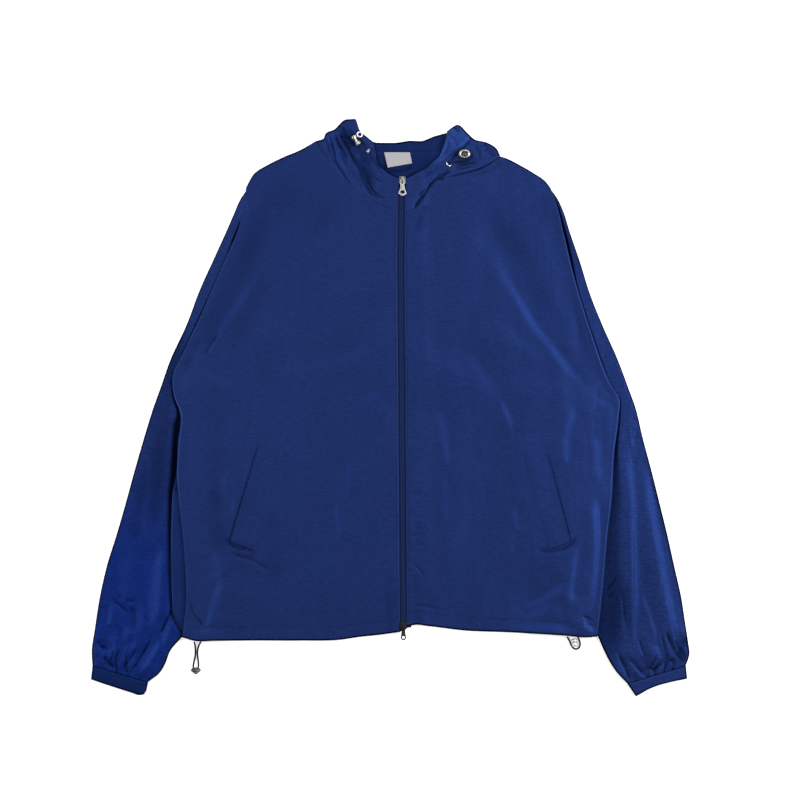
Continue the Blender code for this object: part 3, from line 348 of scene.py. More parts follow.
def along(points, shares):
    """Places on a smooth curve through points, at the given shares of its length.

    Between two points it is a cubic that leaves and arrives with their mean slopes."""
    points = np.asarray(points, float)
    if len(points) > 2:
        chord = run_along(points)
        slope = np.gradient(points, chord, axis=0)
        fine = np.linspace(0.0, chord[-1], 60 * len(points))
        span = np.clip(np.searchsorted(chord, fine, side="right") - 1, 0, len(points) - 2)
        length = (chord[span + 1] - chord[span])[:, None]
        t = (fine - chord[span])[:, None] / length
        start, end = points[span], points[span + 1]
        points = ((2 * t**3 - 3 * t**2 + 1) * start + (t**3 - 2 * t**2 + t) * length * slope[span]
                  + (3 * t**2 - 2 * t**3) * end + (t**3 - t**2) * length * slope[span + 1])
    run = run_along(points)
    places = np.asarray(shares) * run[-1]
    return np.column_stack([np.interp(places, run, points[:, k]) for k in range(points.shape[1])])


def stand_for(node):
    """Puts a piece in the place of a node of the model, unless that is None."""
    if node:
        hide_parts(node)


def add_cord(name, route, node, lift, radius=CORD_RADIUS):
    """A round cord along a route in millimetres, with the place where it starts and its length."""
    line = along(route, np.linspace(0.0, 1.0, CORD_POINTS))
    line[:, 2] += lift
    curve = bpy.data.curves.new(name, "CURVE")
    curve.dimensions = "3D"
    curve.bevel_depth = radius * MM
    curve.bevel_resolution = 4
    curve.use_fill_caps = True
    spline = curve.splines.new("POLY")
    spline.points.add(CORD_POINTS - 1)
    spline.points.foreach_set("co", np.column_stack((line * MM, np.ones(CORD_POINTS))).ravel())
    curve.materials.append(cord_braid)
    made = bpy.data.objects.new(name, curve)
    bpy.context.scene.collection.objects.link(made)
    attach(made, BODY)
    stand_for(node)
    return made, line[0] * MM, run_along(line)[-1] * MM


for name, route, far_end in (("hem_drawcord_left_a", HEM_CORD_LEFT_A, "fitting"),
                             ("hem_drawcord_left_b", HEM_CORD_LEFT_B, "fitting"),
                             ("hem_drawcord_right", HEM_CORD_RIGHT, "object")):
    made, exit_point, length = add_cord(name, route, name.replace("drawcord", "cord"), HEM_CORD_LIFT)
    print(name, "is", round(length * 1000, 1), "mm long")
for name, route in (("hood_cord_left", HOOD_CORD_LEFT), ("hood_cord_right", HOOD_CORD_RIGHT)):
    lowest = min(z for x, y, z in route) - HOOD_CORD_RADIUS
    add_cord(name + "_braided", route, name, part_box(name)[0].z / MM - lowest, HOOD_CORD_RADIUS)

# %% [markdown]
# ## Floor and light
# A plain pale floor and an even sky give the soft look of a studio table. The floor also glows
# a little, so it stays almost white under the jacket's shadow. A lamp on each side skims over
# the cloth: it is nearer to its own half of the jacket, so a crease shines on its outer flank
# and stays dark on its inner one. The right one is the stronger. A third lamp beyond the hood
# does the same for creases that lie across.

# %% Floor and light
bpy.context.scene.view_settings.view_transform = "Standard"
world = bpy.data.worlds.new("studio")
world.use_nodes = True
sky = world.node_tree.nodes["Background"].inputs
sky["Color"].default_value = (1.0, 1.0, 1.0, 1.0)
sky["Strength"].default_value = 0.6
bpy.context.scene.world = world

floor_mesh = bpy.data.meshes.new("floor")
FLOOR_HALF = 4.0
floor_mesh.from_pydata([(-FLOOR_HALF, -FLOOR_HALF, -MM), (FLOOR_HALF, -FLOOR_HALF, -MM),
                        (FLOOR_HALF, FLOOR_HALF, -MM), (-FLOOR_HALF, FLOOR_HALF, -MM)],
                       [], [(0, 1, 2, 3)])
floor = bpy.data.objects.new("floor", floor_mesh)
bpy.context.scene.collection.objects.link(floor)
floor_paint = Finish("floor_white", Specular_IOR_Level=0.1, Roughness=0.9, Emission_Strength=0.5,
                     Emission_Color=(1.0, 1.0, 1.0))
floor_paint.drive(Base_Color=floor_paint.mix(floor_paint.noise(40.0), (0.60, 0.60, 0.60),
                                             (0.62, 0.62, 0.62)))
floor_mesh.materials.append(floor_paint.material)

LAMPS = [  # name, x, y, z in metres, size, power
    ("left_lamp", -1.35, 0.15, 1.15, 0.8, 20.6),
    ("right_lamp", 1.35, 0.2, 1.15, 0.8, 43.0),
    ("far_lamp", 0.2, 1.9, 1.6, 1.2, 26.0)]
for name, x, y, z, size, power in LAMPS:
    lamp_data = bpy.data.lights.new(name, "AREA")
    lamp_data.size = size
    lamp_data.energy = power
    lamp = bpy.data.objects.new(name, lamp_data)
    lamp.location = (x, y, z)
    lamp.rotation_euler = (-Vector((x, y, z))).to_track_quat("-Z", "Y").to_euler()
    bpy.context.scene.collection.objects.link(lamp)
print("floor and", len(LAMPS), "lamps")

# %% [markdown]
# ## Surfaces
# A cut piece is a surface over a grid of two shares, u across it and v along it. Its plan is
# spanned by its four edges, which is called a Coons patch: go straight from edge to edge both
# ways, add the two, and take away what the corners count twice. Its height is worked out
# apart, as the sum of the layers under it and its own creases.

# %% Plan of a cut piece
def smooth(value):
    """A step from 0 to 1 with level ends: 3 t^2 - 2 t^3."""
    value = np.clip(value, 0.0, 1.0)
    return value * value * (3.0 - 2.0 * value)


def bell(value, width=1.0):
    """1 at 0, and falling away on both sides: exp(-(value / width)^2)."""
    return np.exp(-(value / width) ** 2)


def graded(count, ease=0.45):
    """Shares from 0 to 1, closer together at both ends: t - ease sin(2 pi t) / 2 pi."""
    t = np.linspace(0.0, 1.0, count + 1)
    return t - ease * np.sin(2 * math.pi * t) / (2 * math.pi)


def patch(south, north, west, east, u, v):
    """The Coons patch of four edges that are already sampled at the shares u and v."""
    u, v = u[None, :, None], v[:, None, None]
    across = (1 - u) * west[:, None, :] + u * east[:, None, :]
    upward = (1 - v) * south[None, :, :] + v * north[None, :, :]
    corners = ((1 - u) * (1 - v) * south[0] + u * (1 - v) * south[-1]
               + (1 - u) * v * north[0] + u * v * north[-1])
    return across + upward - corners


def four_sided(corners, u, v):
    """The patch inside four corners with straight sides, given in turn from the south-west."""
    return patch(along(corners[:2], u), along([corners[3], corners[2]], u),
                 along([corners[0], corners[3]], v), along([corners[1], corners[2]], v), u, v)


def apart(plan, edge):
    """Distance in plan from each place of a grid to the place that faces it on an edge."""
    return np.hypot(*np.moveaxis(plan - edge, 2, 0))


def two_edges(first, second, shares):
    """Places along two edges end to end; the first one takes the shares up to a half."""
    shares = np.asarray(shares)
    return np.vstack((along(first, shares[shares <= 0.5] * 2),
                      along(second, shares[shares > 0.5] * 2 - 1)))


print("a quarter of the way along, a smooth step has come to", round(float(smooth(0.25)), 3))

# %% [markdown]
# ## Creases
# Thin crisp nylon lies in two kinds of crease: rounded folds that catch the light on one side,
# and pinched troughs that are dark inside. Each is shaped, and also painted: a painted sheen on
# a fold's lit side, and painted shade in a trough. A cloth simulation would give creases too, but
# not these ones in these places, so each is one row of a table: how wide it is, how high, and a
# few points that a smooth curve runs through. Everything between them is broad, gentle
# unevenness.


# %% Creases
def beside(route, x, y):
    """Distance to a smooth curve through a route, and how far along it the nearest place is.

    The distance is positive on the right of the way along and negative on the left."""
    knots = np.reshape(route, (-1, 2)).astype(float)
    if len(knots) > 2:
        knots = along(knots, np.linspace(0.0, 1.0, 10))
    nearest = np.full(x.shape, 1e9)
    share = np.zeros_like(x)
    for k in range(len(knots) - 1):
        step_x, step_y = knots[k + 1] - knots[k]
        away_x, away_y = x - knots[k, 0], y - knots[k, 1]
        t = np.clip((away_x * step_x + away_y * step_y) / (step_x**2 + step_y**2), 0.0, 1.0)
        distance = np.hypot(away_x - t * step_x, away_y - t * step_y)
        closer = distance < np.abs(nearest)
        nearest = np.where(closer, np.where(away_x * step_y > away_y * step_x, distance, -distance),
                           nearest)
        share = np.where(closer, (k + t) / (len(knots) - 1), share)
    return nearest, share


# painted shade: DARKEST caps how dark a trough is painted, and NARROW fades the painted shade and
# sheen of wider rows
DARKEST = 0.98          # the most that a trough's inside is darkened
NARROW = 5.0            # millimetres; a trough or fold with a larger half width is fainter


def creases(table, x, y, outward=1):
    """Painted shade, painted sheen and height of creases: half width, height, the route's x, y in
    turn.

    A positive one is a fold that steps down towards the light: with s the distance across in
    half widths, -height / 2 tanh(s) exp(-(s / 6)^2), so its steep part shines as one soft band,
    and that band also gets a painted sheen. outward is the side, -1 or 1, that the light comes
    from. A negative one is a pinched trough, height exp(-s^2), and its painted shade is a dark line
    that is narrower: exp(-(1.9 s)^2) in its middle, and thinner still towards its ends. The painted
    shade and sheen grow with the height, up to a limit."""
    relief, dark, sheen = np.zeros_like(x), np.zeros_like(x), np.zeros_like(x)
    for width, height, *route in table:
        across, share = beside(route, x, y)
        fade = smooth(share / 0.25) * smooth((1 - share) / 0.25)
        s = across / width
        if height < 0:
            relief += height * fade * bell(s)
            pinch = bell(1.9 * s, 0.35 + 0.65 * fade)
            uneven = (0.8 + 0.2 * np.sin(11 * share + 5 * width)) * smooth(share / 0.1)
            shade = min(DARKEST, -height / (2.3 if width < NARROW else 3.2))
            dark = np.maximum(dark, uneven * smooth((1 - share) / 0.16) * shade * pinch)
        else:
            run_x, run_y = route[-2] - route[0], route[-1] - route[1]
            lit = 1.0 if run_y * outward * 0.8 - run_x * 0.6 > 0 else -1.0
            relief -= lit * height / 2 * fade * np.tanh(s) * bell(s, 6)
            shine = min(0.8, height / 7.0) * min(1.0, (NARROW / width) ** 1.5)
            sheen = np.maximum(sheen, fade * shine * bell(s))
    return relief, dark, sheen


def swell(x, y, size, height, seed):
    """Broad unevenness: a sum of slanting waves whose lengths differ, from a seeded draw."""
    draw = np.random.default_rng(seed)
    total = np.zeros_like(x)
    for _ in range(7):
        angle = draw.uniform(-0.5, 0.5)
        length = size * draw.uniform(0.6, 1.8)
        phase = draw.uniform(0, 2 * math.pi)
        slant = x * math.cos(angle) + y * math.sin(angle) * 0.6
        total += np.sin(slant * 2 * math.pi / length + phase) / 7
    return height * total


print("a 4 mm deep trough is darkened by", round(min(DARKEST, 4 / 2.3), 2))

# %% [markdown]
# ## How the layers lie
# Sleeves and hood lie on the floor. The back panel is flat on the floor in its middle and rises
# over them, and the fronts lie on the back with a little air between. `back_level` gives the
# height of the back panel's underside, as it is in the model.

# %% Sizes and layers
WALL = 1.2              # the model's wall; every size here is in millimetres
SHELL = 0.45            # the wall of the finished cloth
GAP = 0.3               # air between two pieces
TUBE_HEIGHT = 5.2       # a sleeve or the hood, pressed flat
LIFT = TUBE_HEIGHT + 0.4
RAMP = 40.0             # how far the back takes to come down beside a sleeve
EDGE_MARGIN = 8.0
PUFF = 2.5              # air under the middle of a front
ZIP_PUFF = 3.4          # and beside the zip, over its tapes
TAPE_RISE = 2.2
TAPE_WALL = 1.0
TAPE_HALF = 11.0        # from the zip's centre line to a tape's outer edge
ZIP_OPENING = 4.6       # and to the edge of a front
SEAM_STEP = 0.5         # between a sleeve and its cuff
print("the back rises", round(LIFT, 1), "mm over the sleeves")

# %% [markdown]
# ## Outlines
# Each cut piece is bounded by its seams and its free edges. Pieces that are sewn together share
# a seam's list of points where the seam shows. The points are plan points in millimetres, on the
# model's outlines or up to 8 mm from them, so the finished cloth lies on its solids.
# Sides run up the body; shoulders, necks and hems run in to the zip; and a sleeve's edges run
# down to its cuff.

# %% Outlines
LEFT_SIDE = [
    (-307, -321), (-302, -270), (-305, -197), (-311, -138), (-314, -99), (-312, -48), (-309, -9),
    (-318, 15), (-321, 38), (-304, 80), (-283, 124), (-252, 195), (-238, 226), (-228, 252),
    (-220, 285), (-218, 307)]
LEFT_SHOULDER = [(-218, 307), (-206, 327), (-189, 338), (-167, 349), (-141, 360), (-120, 372)]
LEFT_NECK = [(-120, 372), (-108, 354), (-87, 321), (-62, 300), (-36, 286), (-6, 272)]
LEFT_HEM = [(-307, -321), (-290, -326), (-262, -326), (-199, -326), (-143, -326), (-87, -325),
            (-59, -321), (-25, -317), (-4, -314)]
RIGHT_SIDE = [
    (273, -320), (280, -257), (287, -177), (293, -124), (296, -66), (303, -10), (304, 10),
    (291, 33), (263, 108), (244, 169), (225, 246), (217, 280), (208, 306)]
RIGHT_SHOULDER = [(210, 306), (202, 316), (186, 327), (167, 338), (144, 349), (137, 351)]
RIGHT_NECK = [(137, 351), (109, 335), (74, 326), (53, 318), (41, 309), (31, 295), (18, 279),
              (6, 272)]
RIGHT_HEM = [(273, -320), (263, -321), (221, -318), (137, -314), (87, -312), (39, -306),
             (17, -304), (6, -307)]
BACK_LEFT_SIDE = [
    (-308, -321), (-320, -288), (-321, -270), (-322, -158), (-320, -118), (-316, -95),
    (-313, -48), (-310, -9)] + LEFT_SIDE[7:]
BACK_NECK = [(-120, 372), (-80, 362), (-42, 359), (8, 358), (59, 358), (102, 355), (137, 351)]
ZIP_LINE = [(2, -313), (1, -200), (0, -59), (-1, 80), (-2, 206), (-1, 290), (1, 324)]
LEFT_SLEEVE_ARMHOLE = [(-218, 303), (-214, 276), (-214, 234), (-219, 150), (-221, 66),
                       (-217, -31)]
LEFT_SLEEVE_OUTER = [
    (-218, 303), (-225, 293), (-235, 271), (-245, 248), (-265, 204), (-283, 164), (-302, 114),
    (-323, 69), (-339, 24), (-347, 2), (-361, -43), (-374, -88), (-386, -132), (-399, -177),
    (-413, -222), (-423, -267), (-430, -312), (-434, -340), (-433, -361)]
LEFT_SLEEVE_INNER = [
    (-217, -31), (-218, -99), (-228, -150), (-249, -206), (-273, -261), (-297, -307),
    (-307, -320), (-325, -342), (-331, -358), (-338, -370), (-355, -384)]
LEFT_CUFF_SEAM = [(-433, -361), (-355, -384)]
LEFT_CUFF_HEM = [(-435, -380), (-402, -391), (-377, -399), (-367, -402), (-360.5, -400.5),
                 (-357.5, -396)]
RIGHT_SLEEVE_ARMHOLE = [(210, 303), (205, 276), (204, 234), (205, 150), (208, 66), (207, -31)]
RIGHT_SLEEVE_OUTER = [
    (210, 303), (217, 293), (227, 271), (234, 248), (249, 204), (263, 159), (281, 114),
    (301, 69), (318, 24), (326, 2), (337, -43), (349, -88), (360, -132), (371, -177),
    (381, -222), (391, -267), (396, -300), (400, -326), (402, -346), (397, -361)]
RIGHT_SLEEVE_INNER = [
    (207, -31), (210, -99), (218, -150), (234, -206), (252, -261), (269, -307), (279, -332),
    (288, -351), (300, -370), (315, -386)]
RIGHT_CUFF_SEAM = [(397, -361), (315, -386)]
RIGHT_CUFF_HEM = [(399, -379), (377, -383.5), (350, -391.5), (327, -404)]
HOOD_LEFT_TOP = [(-119, 372), (-109, 376), (-107, 382), (-103, 385), (-95, 388), (-88, 395),
                 (-80, 402), (-72, 403), (-65, 403), (-62, 393), (-57, 385), (-50, 379), (-39, 370)]
HOOD_LEFT_EDGE = [(-4, 321), (-17, 327), (-26, 334), (-33, 342), (-35, 353), (-39, 370)]
HOOD_RIGHT_TOP = [(137, 351), (133, 360), (119, 370), (101, 375), (92, 383), (78, 395),
                  (63, 386)]
HOOD_RIGHT_EDGE = [(7, 321), (22, 330), (39, 338), (50, 348), (55, 360), (63, 386)]
BAG_TOP = [(-112, 358), (-87, 378), (-70, 384), (-56, 377), (-36, 370), (-7, 370), (10, 373),
           (28, 372), (45, 379), (59, 383), (74, 385), (90, 372), (106, 364), (126, 354)]
BAG_CENTRE_X = 8.0
BAG_HALF_WIDTH = 127.0
BAG_SHOULDER_Y = 205.0
BAG_BOTTOM_Y = 94.0
BAG_MOUTH_TUCK = 9.0
BAG_FOOT_ANGLE = 86.0
LEFT_WELT = [(-242, -187), (-207, -201), (-165, -46), (-200, -48)]
RIGHT_WELT = [(206, -200), (237, -187), (203, -57), (168, -62)]
NECK_LABEL = [(-20, 335), (14, 341), (11, 356.5), (-25, 356.5)]
print("the body is", RIGHT_SIDE[0][0] - LEFT_SIDE[0][0], "mm wide at its hem")


# %% Heights of the layers
def zip_x(y):
    """The zip's centre line, from its table."""
    table = np.array(ZIP_LINE, float)
    return np.interp(y, table[:, 1], table[:, 0])


def beside_zip(y_values, side, distance=ZIP_OPENING):
    """Points at a distance from the zip's centre line, on the side -1 or +1."""
    return np.column_stack((zip_x(y_values) + side * distance, y_values))


def back_level(x, y, ramp=RAMP):
    """Underside of the back: 0 on the floor, LIFT over a sleeve or the hood, a smooth ramp
    between them."""
    left = np.array(LEFT_SLEEVE_INNER[::-1] + LEFT_SLEEVE_ARMHOLE[::-1][1:], float)
    right = np.array(RIGHT_SLEEVE_INNER[::-1] + RIGHT_SLEEVE_ARMHOLE[::-1][1:], float)
    to_left = x - np.interp(y, left[:, 1], left[:, 0])
    to_right = np.interp(y, right[:, 1], right[:, 0]) - x
    across = (x - BAG_CENTRE_X) / BAG_HALF_WIDTH
    down = np.minimum(y - BAG_SHOULDER_Y, 0.0) / (BAG_SHOULDER_Y - BAG_BOTTOM_Y)
    to_bag = (np.hypot(across, down) - 1.0) * BAG_HALF_WIDTH
    clear = 1.0
    for distance in (to_left, to_right, to_bag):
        clear = clear * (1.0 - smooth((ramp + EDGE_MARGIN - distance) / ramp))
    return LIFT * (1.0 - clear)


def front_level(x, y):
    """What a front lies on: like the back's underside, but coming down over a longer way, as
    cloth does that is held up on one side."""
    return back_level(x, y, 120.0)


def back_top(x, y):
    """Upper face of the finished back panel, in the middle of the model's wall."""
    return back_level(x, y) + (WALL + SHELL) / 2


print("at its foot the zip is", float(zip_x(ZIP_LINE[0][1])), "mm from the middle")

# %% [markdown]
# ## From a grid to a piece
# A grid of points becomes a mesh of quads, and Solidify gives it the thickness of cloth, always
# growing away from the side that is seen. Each piece rides on the jacket's body and stands for
# its solid; the size of its plan is worked out.

# %% Mesh makers
def link(name, mesh, finish, body=BODY):
    """An object for a mesh, which rides on a body."""
    mesh.materials.append(finish)
    made = bpy.data.objects.new(name, mesh)
    bpy.context.scene.collection.objects.link(made)
    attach(made, body)
    return made


def grid_mesh(name, points, closed, **marks):
    """Quads between neighbours in a grid of points in millimetres, rows by columns by xyz.

    marks are grids of numbers that the materials read. Faces that would look down are turned."""
    right, onward = points[0, 1] - points[0, 0], points[1, 0] - points[0, 0]
    if right[0] * onward[1] < right[1] * onward[0]:
        points = points[:, ::-1]
        marks = {word: values[:, ::-1] for word, values in marks.items()}
    rows, columns = points.shape[:2]
    index = np.arange(rows * columns).reshape(rows, columns)
    if closed:
        index = np.column_stack((index, index[:, 0]))
    quads = np.stack((index[:-1, :-1], index[:-1, 1:], index[1:, 1:], index[1:, :-1]), -1)
    mesh = bpy.data.meshes.new(name)
    mesh.from_pydata((points.reshape(-1, 3) * MM).tolist(), [], quads.reshape(-1, 4).tolist())
    mesh.shade_smooth()
    for word, values in marks.items():
        mark = mesh.attributes.new(word, "FLOAT", "POINT")
        mark.data.foreach_set("value", np.ascontiguousarray(values, dtype=np.float32).ravel())
    return mesh


def closeness(distance):
    """10 at an edge, and 0 from 10 mm away; a material can cut it sharply."""
    return np.clip(10.0 - distance, 0.0, 10.0)


def thicken(made, wall):
    """Gives a surface the thickness of cloth, on the side that isn't seen."""
    solid = made.modifiers.new("Wall", "SOLIDIFY")
    solid.thickness = wall * MM
    solid.offset = -1.0


def rework(mesh, change):
    """Makes a change to a mesh through bmesh, and turns all its faces outwards."""
    work = bmesh.new()
    work.from_mesh(mesh)
    change(work)
    bmesh.ops.recalc_face_normals(work, faces=work.faces)
    work.to_mesh(mesh)
    work.free()


print("mesh makers ready")


# %% Cloth walls and their cut sizes
def add_wall(name, node, points, finish, slot="shell_cloth", wall=SHELL, closed=False, **marks):
    """A cloth wall whose seen face is the grid; it stands for a node of the model."""
    made = link(name, grid_mesh(name, points, closed, **marks), finish)
    thicken(made, wall)
    stand_for(node)
    return made


def declare(plan):
    """Works out the size of a piece's plan, in metres, and does nothing more with it."""
    size = (plan.reshape(-1, 2).max(axis=0) - plan.reshape(-1, 2).min(axis=0)) * MM


print("cloth walls are", SHELL, "mm thick")

# %% [markdown]
# ## The fronts
# Each front is one cut piece from the side seam to the zip. Its height is the back panel's, the
# air between them, and its creases. The side edge is a seam that rolls down to the sleeve, the
# hem is a channel for the drawcord with a stitched line above it, and beside the zip the edge
# is folded under and stitched.

# %% Creases of the fronts: half width, height, then the points of the route
# Wide rows with a small negative height are broad painted shade over a shallow dip.
FRONT_RIGHT_CREASES = [
    (8, 1.6, 100, 250, 130, 206, 150, 172),
    (5, 3.1, 130, 206, 155, 163, 179, 122, 202, 92, 232, 54, 262, 20), (8, 1.7, 119, 127, 203, 62),
    (6, 2.0, 86, 80, 112, 46, 140, 12), (3, 2.3, 135, 15, 158, -32), (5, 2.0, 53, 0, 57, -32, 65, -86),
    (5, 1.2, 60, -88, 63, -167), (3, 1.7, 156, -134, 161, -172), (3, 1.2, 156, -172, 151, -209),
    (5, 2.3, 242, 1, 228, -39), (5, 2.5, 228, -32, 231, -83), (5, 1.9, 270, -32, 277, -111),
    (5, 4.6, 269, -116, 273, -165, 272, -225, 264, -290), (4, 2.5, 245, -186, 233, -284),
    (5, 3.6, 165, -284, 200, -266, 235, -242), (6, 4.6, 150, -309, 180, -307, 210, -307, 240, -310),
    (9, 1.2, 106, -60, 110, -115, 108, -170), (9, 1.2, 176, -20, 182, -60, 190, -100),
    (6, 3.6, 160, -298, 190, -286, 215, -268), (4, 2.5, 252, -298, 273, -316),
    (10, 1.1, 11, 78, 123, 45), (9, 1.4, 123, 48, 263, 20), (1.8, -0.9, 10, -168, 22, -167, 38, -171),
    (1.8, -0.8, 12, -180, 31, -176), (1.8, -0.9, 11, -214, 22, -224, 32, -238),
    (2.2, -0.9, 12, -274, 32, -278, 54, -282), (1.8, -0.8, 12, -120, 38, -123),
    (1.8, -0.7, 20, -190, 34, -193), (8, 0.8, 86, -4, 86, -228), (7, 0.8, 119, -22, 119, -106),
    (8, 0.8, 193, -97, 193, -237), (4, 1.2, 259, 20, 301, -6), (6, 0.7, 128, -204, 130, -274),
    (7, 0.5, 35, -4, 37, -190), (6, 0.7, 217, -120, 221, -186), (4, 1, 296, -32, 287, -144),
    (28, 2, 235, 190, 150, 40), (12, 2.2, 254, -312, 262, -262),
    (11, 1.8, 28, 86, 70, 60, 110, 30, 152, 4), (9, 2.4, 170, -296, 205, -288, 240, -272),
    (32, -0.7, 102, 318, 137, 255, 179, 192, 214, 122), (9, -0.9, 34, 284, 26, 264, 20, 242),
    (8, -1.3, 92, 324, 116, 331, 142, 345),
    (24, -0.8, 196, 318, 201, 280, 210, 240, 225, 190, 246, 128, 270, 66, 290, 18),
    (22, -0.5, 30, -250, 44, -300), (22, -0.7, 18, -225, 16, -342),
    (14, -0.7, 214, 92, 240, 56, 264, 26), (2.2, -2.6, 250, -292, 260, -293, 266, -297, 273, -311),
    (3.5, 2.2, 251, -296, 260, -303, 270, -312),
    (3.4, -1.6, 244, -176, 238, -190, 222, -198, 206, -201, 184, -196),
    (3.0, -0.6, 146, -12, 158, -30, 170, -35, 196, -28)]
FRONT_LEFT_CREASES = [
    (5, 2.4, -189, 197, -232, 140, -276, 76), (3.2, -1.5, -252, 108, -264, 93, -276, 72),
    (8, 1.3, -171, 127, -227, 90), (10, 1.7, -175, 48, -31, 80), (8, 1.0, -311, 59, -208, 20),
    (6, 1.5, -77, 1, -21, 20), (4, 1.3, -40, -6, -14, 2), (4, 2.2, -77, -78, -73, -120),
    (4, 2.2, -94, -127, -87, -190), (5, 1.3, -124, -209, -122, -251), (4, 0.9, -14, -88, -7, -190),
    (5, 1.9, -266, -200, -251, -237), (6, 3.7, -251, -235, -276, -312),
    (4, 3.2, -258, -98, -246, -116, -229, -146), (2, 1.1, -151, 15, -182, -111),
    (6, 1.3, -217, -260, -175, -309), (7, 0.8, -143, -214, -139, -284), (7, 0.6, -49, -144, -47, -246),
    (30, -0.4, -262, 40, -262, -40, -262, -120), (7, 0.6, -105, -27, -103, -106),
    (6, 0.9, -264, 6, -231, -32), (2, -0.5, -38, -27, -28, -18), (2, -0.4, -150, -249, -129, -244),
    (10, 1.1, -227, 155, -311, 62), (12, 1, -161, 192, -124, 118), (14, 1.4, -280, -300, -262, -200),
    (36, -0.9, -184, 312, -193, 270, -212, 225, -234, 175, -258, 125, -288, 66),
    (10, -0.8, -278, 104, -292, 76, -306, 44), (22, -0.7, -16, -225, -14, -348),
    (30, -0.5, -192, 196, -214, 140, -238, 80), (24, -0.8, -264, -110, -257, -165, -250, -216),
    (24, -0.55, -182, -140, -178, -208, -176, -266), (6, 2.6, -296, -314, -270, -312, -240, -312),
    (8, 2.0, -276, -286, -252, -290, -226, -296), (60, -0.5, -205, 296, -143, 284, -90, 250),
    (16, 2.0, -300, -246, -262, -288, -216, -312), (40, -0.4, -270, -130, -240, -190, -200, -230),
    (9, 1.2, -170, 30, -110, 62, -40, 78),
    (2.2, -2.4, -304, -266, -296, -273, -292, -287, -284, -296, -276, -307),
    (3.4, -1.9, -250, -182, -238, -192, -228, -197, -214, -198, -202, -206),
    (3.4, -1.5, -244, -200, -230, -206, -216, -209, -200, -218, -180, -228)]
SEAM_SHADOW = [         # the deep hollow where the right hood side meets the front
    (1.9, -2.4, 66, 332, 56, 324, 40, 312, 31, 297, 20, 283, 15, 272),
    (2.0, -1.9, 31, 300, 24, 288, 17, 278), (3.4, -2.8, 47, 320, 53, 320.5, 59, 320),
    (1.5, -2.2, 58, 318.5, 74, 324.2, 92, 328.4, 108, 332.8, 124, 341.5, 138, 349.5)]
print(len(FRONT_LEFT_CREASES) + len(FRONT_RIGHT_CREASES), "creases on the fronts")

# %% Edges of the fronts
FRONT_CELLS = (168, 252)
HEM_DEPTH = 18.0        # from the hem to the stitched line over its channel
FOLD_DEPTH = 3.6        # from the folded edge beside the zip to its stitched line
SEAM_ROLL = 1.6         # width of the rolled seam along the side and armhole
# The rim tables give, at some y, a painted highlight along the rolled seam; the seam also rolls a
# little higher there.
LEFT_RIM = [            # y, and how brightly the rolled seam catches the light there
    (-325, 0.0), (-150, 0.0), (-115, 0.15), (-98, 0.4), (-31, 0.3), (-15, 0.2), (-9, 0.9), (10, 0.5),
    (27, 0.05), (91, 0.05), (106, 0.5), (150, 0.35), (204, 0.6), (226, 0.8), (237, 0.1), (305, 0.0)]
RIGHT_RIM = [
    (-325, 0.0), (-185, 0.08), (-87, 0.2), (-45, 0.15), (3, 0.1), (31, 0.1),
    (45, 0.3), (120, 0.15), (234, 0.3), (255, 0.1), (305, 0.0)]


def front_puff(u, v):
    """Air under a front: none along the side and shoulder, most in the middle and at the zip."""
    neck = smooth((u - 0.45) / 0.2)
    side = smooth(u / 0.22)
    hem = 0.35 + 0.65 * smooth(v / 0.12)
    top = 1.0 - (1.0 - (0.1 + 0.65 * neck)) * smooth((v - 0.8) / 0.2)
    at_zip = smooth((u - 0.84) / 0.08)
    return PUFF * side * hem * top * (1 - at_zip) + ZIP_PUFF * at_zip


def on_ridge(x):
    """0 up to x = 54 and 1 from x = 68, where the right neck seam is a rolled ridge."""
    return smooth((x - 54) / 14)


def stitched_groove(distance, centre, width, depth):
    """The narrow groove that a row of stitches draws into the cloth."""
    return -depth * bell(distance - centre, width)


print("the hem's channel is", HEM_DEPTH, "mm deep")


